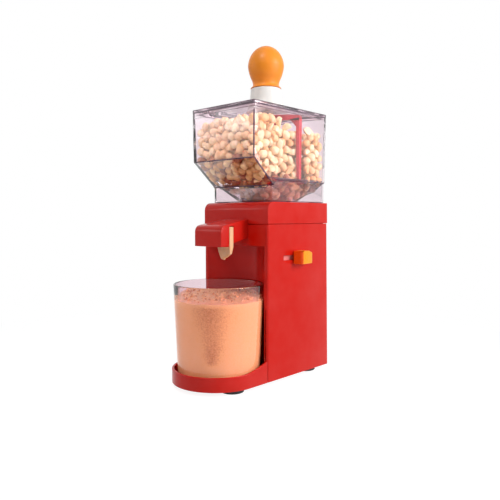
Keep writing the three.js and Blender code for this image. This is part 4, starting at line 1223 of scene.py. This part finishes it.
def settled_nuts():
    """Centres of the nuts: balls pushed apart until they lie in the hopper, clear of the bar's way."""
    sizes = bpy.context.scene.grinder_clear
    radius = sizes.nut
    normals, offsets = funnel_planes()
    low, high = span("hopper")
    axis = np.array([0, stir_axis()])
    bar_in, bar_out = bar_way()
    bar_in, bar_out = bar_in - 0.93 * radius, bar_out + 0.93 * radius
    funnel = high.z - 69 * MM
    steps, falling = 220, 160
    random = np.random.default_rng(5)
    places = random.uniform(
        (low.x + radius, low.y + radius, low.z + 25 * MM),
        (high.x - radius, high.y - radius, sizes.heap - radius),
        (sizes.nuts, 3),
    )
    for step in range(steps):
        gaps = places[:, None, :] - places[None, :, :]
        away = np.sqrt((gaps**2).sum(2)) + np.eye(len(places))
        push = np.clip(2 * radius - away, 0, None) / away * 0.35
        places += (gaps * push[:, :, None]).sum(1)
        if step < falling:
            places[:, 2] -= 0.25 * MM * (1 - step / falling)
        out = places[:, :2] - axis
        reach = np.maximum(np.linalg.norm(out, axis=1), WELD)
        inside = (reach > bar_in) & (reach < bar_out) & (places[:, 2] > funnel)
        goal = np.where(reach < (bar_in + bar_out) / 2, bar_in, bar_out)
        places[inside, :2] = axis + out[inside] / reach[inside, None] * goal[inside, None]
        places[:, 2] = np.minimum(places[:, 2], heap_top(places, reach) - radius)
        for _ in range(2):
            short = 0.8 * radius - (places @ normals.T - offsets)
            places += (np.clip(short, 0, None) @ normals) * 0.9
    reach = np.linalg.norm(places[:, :2] - axis, axis=1)
    overlap = 0.6 * MM
    blocked = (reach > bar_in + overlap) & (reach < bar_out - overlap) & (places[:, 2] > funnel)
    deep = (places @ normals.T - offsets).min(1) < 0.6 * radius
    return places[~(blocked | deep)]


def nut(place, random, walls, way, in_painted_shade):
    """One nut, whole or split, turned its own way and pressed against the walls, with its own tone, which
    painted shade lowers for nuts on the slanted walls.
    """
    size = bpy.context.scene.grinder_clear.nut * 0.97
    bm = bmesh.new()
    bmesh.ops.create_uvsphere(bm, u_segments=9, v_segments=7, radius=1)
    tone = bm.verts.layers.float.new("tone")
    split = random.uniform() < 0.45
    turn = Matrix(np.linalg.qr(random.normal(size=(3, 3)))[0].tolist())
    if turn.determinant() < 0:
        turn = turn @ Matrix.Scale(-1, 3)
    wide = random.uniform(0.92, 1.08)
    long = random.uniform(0.98, 1.24)
    knobbly = Vector(random.uniform(0, 50, 3))
    beyond = math.hypot(place[0], place[1] - way["axis"]) > (way["inner"] + way["outer"]) / 2
    # Painted shade: nuts on the slanted walls get a tone 0.4 lower, darker and browner.
    shade = random.uniform(0.05, 0.8) - (0.4 if in_painted_shade else 0)
    for vertex in bm.verts:
        x, y, z = vertex.co
        waist = 1 - 0.12 * math.exp(-((z - 0.1) ** 2) / 0.12)
        tip = 0.16 * max(0, z) ** 6
        if split:
            y = max(y, -0.12) * 1.25 - 0.3
        shape = Vector((x * wide * waist, y * wide * waist + tip * 0.3, (z + tip) * long))
        shape *= 1 + 0.2 * noise.noise(shape * 1.3 + knobbly)
        spot = Vector(place) + turn @ shape * size
        for normal, offset in walls:
            spot += normal * max(0, offset + SEAT / 3 - normal.dot(spot))
        vertex.co = clear_of_stirrer(spot, way, beyond)
        vertex[tone] = shade
    return bm


def nut_heap():
    """All the nuts in one mesh, with painted shade, a browner tone, where they lie on the slanted walls.
    """
    random = np.random.default_rng(23)
    normals, offsets = funnel_planes()
    walls = [(Vector(normal), float(offset)) for normal, offset in zip(normals, offsets)]
    slanted = walls[4:]
    way = stirrer_way()
    nuts = []
    for place in settled_nuts():
        above = min(normal.dot(Vector(place)) - offset for normal, offset in slanted)
        nuts.append(nut(place, random, walls, way, above < 2 * bpy.context.scene.grinder_clear.nut))
    return gather(nuts)


class GRINDER_OT_cup(bpy.types.Operator):
    """Makes the clear cup and the nut butter in it"""

    bl_idname = "grinder.cup"
    bl_label = "Cup"

    def execute(self, context):
        piece("clear_cup", clear_cup(), "cup", ["clear_cup_wall"], ["cup"])
        butter = butter_crumbs(butter_inside())
        piece("butter_in_cup", butter, "cup", ["nut_butter"])
        return {"FINISHED"}


class GRINDER_OT_hopper(bpy.types.Operator):
    """Makes the clear hopper and its lid, with painted shade along their edges"""

    bl_idname = "grinder.hopper"
    bl_label = "Hopper and lid"

    def execute(self, context):
        edge = context.scene.grinder_clear.edge
        for name, node, body, wall, width in (
            ("clear_box", "hopper", "hopper", "clear_wall", edge),
            ("clear_lid", "hopper_lid", "lid", "clear_lid_plate", edge * 0.7),
        ):
            # Their bevelled edges take the painted dark edge finish.
            clear = [wall, "clear_edge"]
            piece(name, merged_copy(node), body, clear, [node], width)
        return {"FINISHED"}


class GRINDER_OT_nuts(bpy.types.Operator):
    """Fills the hopper with nuts"""

    bl_idname = "grinder.nuts"
    bl_label = "Nuts"

    def execute(self, context):
        piece("nuts", nut_heap(), "hopper", ["blanched_nuts"], sharp=50.0)
        return {"FINISHED"}


def butter_drip():
    """A curtain of butter that fills the spout's slot and hangs below it, with a ragged end."""
    sizes = bpy.context.scene.grinder_housing
    low, high = span("spout")
    middle = -(sizes.slot_front + sizes.slot_rear) / 2
    thick = (sizes.slot_front - sizes.slot_rear) / 2 - 0.15 * MM
    top = high.z - sizes.spout_fall * 0.62 - sizes.wall - 0.6 * MM
    left, right = 1.5 * MM, high.x + 0.4 * MM
    lowest, rise = 119.5 * MM, 5.5 * MM  # of the curtain's lower edge, from left to right
    bm = bmesh.new()
    tone = bm.verts.layers.float.new("tone")
    bmesh.ops.create_grid(bm, x_segments=26, y_segments=34, size=0.5)
    pushed = bmesh.ops.extrude_face_region(bm, geom=bm.faces[:])
    rear = {item for item in pushed["geom"] if isinstance(item, bmesh.types.BMVert)}
    for vertex in bm.verts:
        across, down = vertex.co.x + 0.5, 0.5 - vertex.co.y
        x = left + (right - left) * across
        ragged = noise.fractal(Vector((x / (3 * MM), 0, 2)), 0.8, 2, 3)
        bottom = lowest + rise * across**2 + 1.6 * MM * ragged
        bottom += 7 * MM * max(0, 0.22 - across) / 0.22
        z = top + (bottom - top) * down
        hung = max(0, low.z - z) / (low.z - bottom)
        sway = 0.7 * MM * hung * noise.noise(Vector((x / (5 * MM), z / (9 * MM), 5)))
        if z < low.z:
            x -= (x - (left + right) / 2) * 0.12 * hung
        half = thick * (1 - 0.5 * hung)
        vertex.co = Vector((x, middle + sway + (half if vertex in rear else -half), z))
        vertex[tone] = 0.4 + 0.15 * noise.noise(vertex.co / (4 * MM))
    bmesh.ops.recalc_face_normals(bm, faces=bm.faces)
    return bm


class GRINDER_OT_drip(bpy.types.Operator):
    """Hangs nut butter from the spout's slot"""

    bl_idname = "grinder.drip"
    bl_label = "Butter at the spout"

    def execute(self, context):
        butter = ["nut_butter"]
        drip = piece("butter_at_spout", butter_drip(), "base", butter, sharp=80.0)
        smooth = drip.modifiers.new("Smooth", "SUBSURF")
        smooth.levels = 1
        smooth.render_levels = 1
        return {"FINISHED"}


# Knob, collar and stirrer

def stir_axis():
    """Y of the upright axis through the knob and the stirrer."""
    return middle_of("knob")[1]


def knob_bulb():
    """A bulb on a waisted neck that flares out over the collar."""
    sizes = bpy.context.scene.grinder_turned
    low, high = span("knob")
    tall = high.z - low.z
    widest = high.x
    swell = widest - sizes.knob_neck
    rows = [(0.052, 0.1), (0.106, 0), (0.188, 0.18), (0.294, 0.57), (0.412, 0.86), (0.51, 1)]
    side = [(sizes.knob_flare, low.z), (sizes.knob_flare - 0.2 * MM, low.z + 0.5 * MM)]
    side += [(sizes.knob_neck + swell * out, low.z + tall * share) for share, out in rows]
    middle = side[-1][1]
    dome = [
        (widest * math.cos(a), middle + (high.z - middle) * math.sin(a))
        for a in np.linspace(0, math.pi / 2, 25)[1:]
    ]
    bore = sizes.rod + SEAT
    depth = low.z + 22 * MM
    profile = flowing(side, 5) + dome[:-1] + [(0, high.z)]
    profile = [(0, depth), (bore, depth), (bore, low.z + 0.4 * MM), *profile]
    return turned(profile, (0, stir_axis(), 0), 128)


def bearing_collar():
    """White collar that carries the knob: a swept cone on a foot with a spigot into the lid."""
    sizes = bpy.context.scene.grinder_turned
    low, high = span("lid_collar")
    bore = sizes.rod + 0.4 * MM
    foot = span("hopper_lid")[1].z + SEAT
    widest = high.x
    tall = high.z - foot
    sweep = flowing([
        (widest, foot + 0.8 * MM),
        (widest - 0.5 * MM, foot + 0.12 * tall),
        (sizes.collar_top + 2.8 * MM, foot + 0.3 * tall),
        (sizes.collar_top + 1.1 * MM, foot + 0.52 * tall),
        (sizes.collar_top + 0.2 * MM, foot + 0.8 * tall),
        (sizes.collar_top, high.z - 1.2 * MM),
    ], 6)
    rim = arc((sizes.collar_top - 1.2 * MM, high.z - 1.2 * MM), 1.2 * MM, 0, 90, 6)
    profile = [
        (bore, low.z), (7 * MM, low.z), (7 * MM, foot), (widest - 0.8 * MM, foot),
        *sweep, *rim, (bore, high.z),
    ]
    return turned(profile, (0, stir_axis(), 0), 128, closed=True)


def stirring_arm():
    """Hub, level arm and upright bar in one crimson moulding, turned to where the photo has it."""
    sizes = bpy.context.scene.grinder_turned
    low, high = span("stirrer_arm")
    top = high.z
    under = top - sizes.arm_thick
    width = sizes.arm_width / 2
    inner, reach = bar_reach()
    hub = rod(sizes.hub, (0, 0, under - 3.5 * MM), (0, 0, top), 64)
    arm = block((0, -width, under), (reach, width, top))
    bar = block((inner, -width, low.z), (reach, width, top))
    for vertex in bar.verts:
        if vertex.co.z < low.z + WELD:
            vertex.co.y *= 0.8
            vertex.co.x += 0.5 * MM if vertex.co.x < (inner + reach) / 2 else -0.6 * MM
    for shape in (arm, bar):
        outer_top = edges_where(shape, lambda co: co.x > reach - WELD and co.z > top - WELD)
        bevel(shape, outer_top, 1.6 * MM, 5)
    web = extruded(
        [(inner + MM, under - 8 * MM), (inner + MM, under + MM), (inner - 8 * MM, under + MM)],
        1, -1.2 * MM, 1.2 * MM,
    )
    bore = rod(sizes.rod + SEAT, (0, 0, under - 2.3 * MM), (0, 0, top + PAST))
    whole = cut(join(hub, arm, bar, web), bore)
    bmesh.ops.rotate(whole, matrix=Matrix.Rotation(math.radians(20), 3, "Z"), verts=whole.verts)
    bmesh.ops.translate(whole, vec=(0, stir_axis(), 0), verts=whole.verts)
    return whole


class GRINDER_OT_stirrer(bpy.types.Operator):
    """Makes the knob, the collar under it and the stirrer"""

    bl_idname = "grinder.stirrer"
    bl_label = "Knob and stirrer"

    def execute(self, context):
        knob, collar, arm = knob_bulb(), bearing_collar(), stirring_arm()
        white, crimson = ["white_satin"], ["crimson_gloss"]
        piece("knob_bulb", knob, "stirrer", ["orange_satin"], ["knob"])
        piece("bearing_collar", collar, "lid", white, ["lid_collar"])
        piece("stirring_arm", arm, "stirrer", crimson, ["stirrer_arm"], 0.6 * MM, 3)
        return {"FINISHED"}


# Switch

def lever_grip():
    """The slide switch's finger piece, with a neck through the slot."""
    sizes = bpy.context.scene.grinder_turned
    low, high = span("switch_lever")
    base = span("lower_housing")[1].x + SEAT
    y0, y1, z0, z1 = low.y, high.y, low.z, high.z
    curve = sizes.lever_round
    half_mm = 0.5 * MM
    shoulder = (high.x - curve, y0 + half_mm)
    top = [
        (base, y0),
        *bend(shoulder, (high.x, y0 + 2 * half_mm), (high.x, y0 + curve + half_mm), 8),
        *bend(
            (high.x - MM, y1 - curve - MM), (high.x - 1.5 * MM, y1), (high.x - curve - 1.5 * MM, y1), 8
        ),
        (base, y1),
    ]
    face = [
        (y0 - PAST, z0), (y1 + PAST, z0 + half_mm), (y1 + PAST, z1 - curve - half_mm),
        (y1 - (z1 - z0) / 2, z1), (y0 - PAST, z1),
    ]
    grip = shared(
        extruded(top, 2, z0 - PAST, z1 + PAST), extruded(face, 0, base - PAST, high.x + PAST)
    )
    middle = (z0 + z1) / 2
    neck_half = sizes.slot_tall / 2 - SEAT
    neck = block(
        (low.x, y0 + 4 * MM, middle - neck_half), (base + SEAT, y0 + 16 * MM, middle + neck_half)
    )
    return join(grip, neck)


class GRINDER_OT_switch(bpy.types.Operator):
    """Makes the switch's lever and slider"""

    bl_idname = "grinder.switch"
    bl_label = "Switch"

    def execute(self, context):
        amber, pink = ["amber_lever"], ["pink_slider"]
        grip, node = lever_grip(), "switch_lever"
        piece("lever_grip", grip, "switch", amber, [node], 0.9 * MM, 4, within=node)
        strip = merged_copy("switch_slider")
        piece("slider_strip", strip, "switch", pink, ["switch_slider"], 0.3 * MM)
        return {"FINISHED"}


# Feet, screws and gland

def rubber_foot(corner):
    """A round foot with two grooves and a stem into the base."""
    low, high = span(f"foot_{corner}")
    x, y, _ = middle_of(f"foot_{corner}")
    radius = (high.x - low.x) / 2
    top = span("base_tray")[0].z - SEAT
    stem = 3.5 * MM
    ring = radius - 3 * MM
    profile = [
        (0, 0.5 * MM), (ring - 2 * MM, 0.5 * MM), (ring - 1.6 * MM, 0), (ring, 0),
        (ring + 0.4 * MM, 0.5 * MM), (ring + MM, 0.5 * MM), (ring + 1.4 * MM, 0),
        *arc((radius - MM, MM), MM, -90, 0, 5),
        (radius - 0.6 * MM, top - 0.4 * MM), (radius - MM, top), (stem, top), (stem, high.z),
        (0, high.z),
    ]
    return turned(profile, (x, y, 0), 64)


def cross_screw(corner):
    """A pan-head screw with a cross recess and a threaded rod."""
    low, high = span(f"base_screw_{corner}")
    x, y, _ = middle_of(f"base_screw_{corner}")
    head = (high.x - low.x) / 2
    tall = 1.7 * MM
    rod_radius = 1.4 * MM
    thread = []
    turns = 17
    pitch = (high.z - low.z - tall - MM) / turns
    for i in range(turns):
        z = low.z + tall + i * pitch
        thread += [(rod_radius * 0.8, z + 0.1 * pitch), (rod_radius, z + 0.5 * pitch)]
    profile = [
        (0, low.z), (head - 1.2 * MM, low.z), *arc((head - MM, low.z + MM), MM, -70, 0, 5),
        (head, low.z + tall), *thread, (rod_radius * 0.7, high.z - 0.6 * MM), (0, high.z),
    ]
    long, narrow = 1.7 * MM, 0.35 * MM
    wings = [
        block((x - wide, y - deep, low.z - PAST), (x + wide, y + deep, low.z + 1.1 * MM))
        for wide, deep in ((long, narrow), (narrow, long))
    ]
    return cut(turned(profile, (x, y, 0), 40), join(*wings))


def cord_gland():
    """The round gland in the rear wall, with a lead-in and grip ribs inside."""
    low, high = span("cord_inlet")
    x, _, z = middle_of("cord_inlet")
    flange = (high.x - low.x) / 2
    back = high.y - 3.1 * MM
    bore = 2.2 * MM
    barrel = 4 * MM
    profile = [
        (bore, low.y), (barrel - 0.5 * MM, low.y), (barrel, low.y + 0.5 * MM), (barrel, back),
        (flange, back), *arc((flange - 1.2 * MM, high.y - 1.2 * MM), 1.2 * MM, 0, 90, 5),
        *arc((bore + 1.6 * MM, high.y - 1.6 * MM), 1.6 * MM, 90, 180, 5),
    ]
    for i in range(3):
        y = high.y - 3 * MM - i * 2 * MM
        profile += [(bore, y), (bore + 0.4 * MM, y - 0.5 * MM), (bore + 0.4 * MM, y - 1.4 * MM)]
    return turned(profile, (x, 0, z), 48, closed=True, lengthwise=True)


class GRINDER_OT_fittings(bpy.types.Operator):
    """Makes the feet, the base screws and the cord's gland"""

    bl_idname = "grinder.fittings"
    bl_label = "Feet, screws and gland"

    def execute(self, context):
        rubber, zinc, black = "black_rubber", "zinc_steel", "black_plastic"
        for corner in CORNERS:
            foot, screw = rubber_foot(corner), cross_screw(corner)
            piece(f"rubber_foot_{corner}", foot, "base", [rubber], [f"foot_{corner}"])
            piece(f"screw_{corner}", screw, "base", [zinc], [f"base_screw_{corner}"])
        piece("cord_gland", cord_gland(), "base", [black], ["cord_inlet"])
        return {"FINISHED"}


class GRINDER_OT_works(bpy.types.Operator):
    """Gives the grinder's inner pieces their metals and plastics"""

    bl_idname = "grinder.works"
    bl_label = "Inner works"

    def execute(self, context):
        finishes = {
            "stirrer_shaft": "ground_steel",
            "grinding_chamber": "cream_nylon",
            "grinding_ring": "ground_steel",
            "grinding_rotor": "ground_steel",
            "auger": "ground_steel",
            "shaft_seal": "black_rubber",
            "rear_bearing": "oiled_bronze",
            "auger_gear": "cream_nylon",
            "idler_gear": "cream_nylon",
            "idler_pin": "ground_steel",
            "idler_clip": "zinc_steel",
            "gear_plate": "zinc_steel",
            "motor": "zinc_steel",
            "motor_pinion": "ground_steel",
            "switch_body": "black_plastic",
        }
        for name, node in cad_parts.items():
            if node.hide_render:
                continue
            node.data.materials.clear()
            node.data.materials.append(finish_of(finishes[name]))
        return {"FINISHED"}


# Stage

def shown_to_lens(tree):
    """1 for rays that show a surface directly, in a reflection or through something clear."""
    path = add(tree, "ShaderNodeLightPath").outputs
    shown = path["Is Camera Ray"]
    for kind in ("Is Glossy Ray", "Is Transmission Ray"):
        shown = add(tree, "ShaderNodeMath", {0: shown, 1: path[kind]}, operation="MAXIMUM").outputs[0]
    return shown


def pale_world(strength):
    """A world that looks white and lights the object evenly at the given strength."""
    world = bpy.data.worlds.new("Studio")
    world.use_nodes = True
    tree = world.node_tree
    tree.nodes.clear()
    seen = shown_to_lens(tree)
    level = add(tree, "ShaderNodeMapRange", {"Value": seen, "To Min": strength, "To Max": 1.0})
    light = add(tree, "ShaderNodeBackground", {"Strength": level.outputs["Result"]})
    light.inputs["Color"].default_value = (1, 1, 1, 1)
    output = add(tree, "ShaderNodeOutputWorld")
    tree.links.new(light.outputs[0], output.inputs["Surface"])
    return world


def floor_finish():
    """A pale floor that looks white but keeps the object's shadow near its feet."""
    material, tree, surface = empty_material("pale_floor")
    where = placed(tree)
    drift = clouds(tree, where, 300 * MM)
    tone = shades(tree, drift, [(0.3, (0.7, 0.7, 0.7)), (0.7, (0.73, 0.73, 0.73))])
    plain = add(tree, "ShaderNodeBsdfDiffuse", {"Color": tone})
    glow = add(tree, "ShaderNodeEmission", {"Strength": 0.9})
    faint = add(tree, "ShaderNodeBsdfDiffuse", {"Color": (0.25, 0.25, 0.25, 1)})
    near = add(tree, "ShaderNodeAddShader", {0: glow.outputs[0], 1: faint.outputs[0]})
    away = add(tree, "ShaderNodeVectorMath", {0: where}, operation="LENGTH").outputs["Value"]
    reach = {"Value": away, "From Min": 150 * MM, "From Max": 450 * MM}
    share = add(tree, "ShaderNodeMapRange", reach, interpolation_type="SMOOTHSTEP")
    white = add(tree, "ShaderNodeEmission", {"Strength": 1.0})
    shown = mixed(tree, share.outputs["Result"], near.outputs[0], white.outputs[0])
    tree.links.new(mixed(tree, shown_to_lens(tree), plain.outputs[0], shown), surface)
    return material


def area_light(name, place, aim, size, power):
    """An oblong soft light that looks at a point."""
    lamp = bpy.data.lights.new(name, "AREA")
    lamp.shape = "RECTANGLE"
    lamp.size, lamp.size_y = size
    lamp.energy = power
    shown = bpy.data.objects.new(name, lamp)
    shown.location = place
    shown.rotation_euler = (Vector(aim) - Vector(place)).to_track_quat("-Z", "Y").to_euler()
    bpy.context.scene.collection.objects.link(shown)


MIDDLE, SHOULDER = (0, 0, 0.16), (0, 0, 0.25)  # what the lamps look at
LAMPS = (
    ("Key", (1.12, 0.5, 0.5), MIDDLE, (0.48, 0.7)),
    ("Side", (1.2, 0.3, 0.65), MIDDLE, (0.3, 0.5)),
    ("Fill", (-0.85, -0.87, 0.5), MIDDLE, (0.5, 0.35)),
    ("Top", (0.1, -0.5, 0.95), SHOULDER, (0.3, 0.2)),
)


class GRINDER_OT_stage(bpy.types.Operator):
    """Sets up the floor, the lights, the world and the camera"""

    bl_idname = "grinder.stage"
    bl_label = "Stage"

    def execute(self, context):
        scene = context.scene
        settings = scene.grinder_stage
        bm = bmesh.new()
        bmesh.ops.create_grid(bm, x_segments=8, y_segments=8, size=4)
        mesh = bpy.data.meshes.new("floor")
        bm.to_mesh(mesh)
        bm.free()
        floor = bpy.data.objects.new("floor", mesh)
        floor.data.materials.append(floor_finish())
        scene.collection.objects.link(floor)
        for name, place, aim, size in LAMPS:
            area_light(name, place, aim, size, getattr(settings, name.lower()))
        scene.world = pale_world(settings.sky)
        camera = bpy.data.cameras.new("Camera")
        camera.lens = settings.lens
        shown = bpy.data.objects.new("Camera", camera)
        shown.location = settings.camera_place
        shown.rotation_euler = (math.pi / 2 - settings.camera_dip, 0, settings.camera_turn)
        scene.collection.objects.link(shown)
        scene.camera = shown
        scene.view_settings.view_transform = "Standard"
        return {"FINISHED"}


STEPS = (
    GRINDER_OT_stage,
    GRINDER_OT_housing,
    GRINDER_OT_tray,
    GRINDER_OT_spout,
    GRINDER_OT_cup,
    GRINDER_OT_drip,
    GRINDER_OT_hopper,
    GRINDER_OT_nuts,
    GRINDER_OT_stirrer,
    GRINDER_OT_switch,
    GRINDER_OT_fittings,
    GRINDER_OT_works,
)


class GRINDER_PT_panel(bpy.types.Panel):
    """Lists the grinder's building steps"""

    bl_idname = "GRINDER_PT_panel"
    bl_label = "Nut butter grinder"
    bl_space_type = "VIEW_3D"
    bl_region_type = "UI"
    bl_category = "Grinder"

    def draw(self, context):
        for step in STEPS:
            self.layout.operator(step.bl_idname)
        for name, group in SETTINGS.items():
            box = self.layout.box()
            for prop in group.__annotations__:
                box.prop(getattr(context.scene, name), prop)


def register():
    for group in SETTINGS.values():
        bpy.utils.register_class(group)
    for name, group in SETTINGS.items():
        setattr(bpy.types.Scene, name, bpy.props.PointerProperty(type=group))
    for step in (*STEPS, GRINDER_PT_panel):
        bpy.utils.register_class(step)


def unregister():
    for step in (*STEPS, GRINDER_PT_panel):
        bpy.utils.unregister_class(step)
    for name, group in SETTINGS.items():
        delattr(bpy.types.Scene, name)
        bpy.utils.unregister_class(group)


def main():
    register()
    for step in STEPS:
        group, name = step.bl_idname.split(".")
        getattr(getattr(bpy.ops, group), name)()


if __name__ == "__main__":
    main()
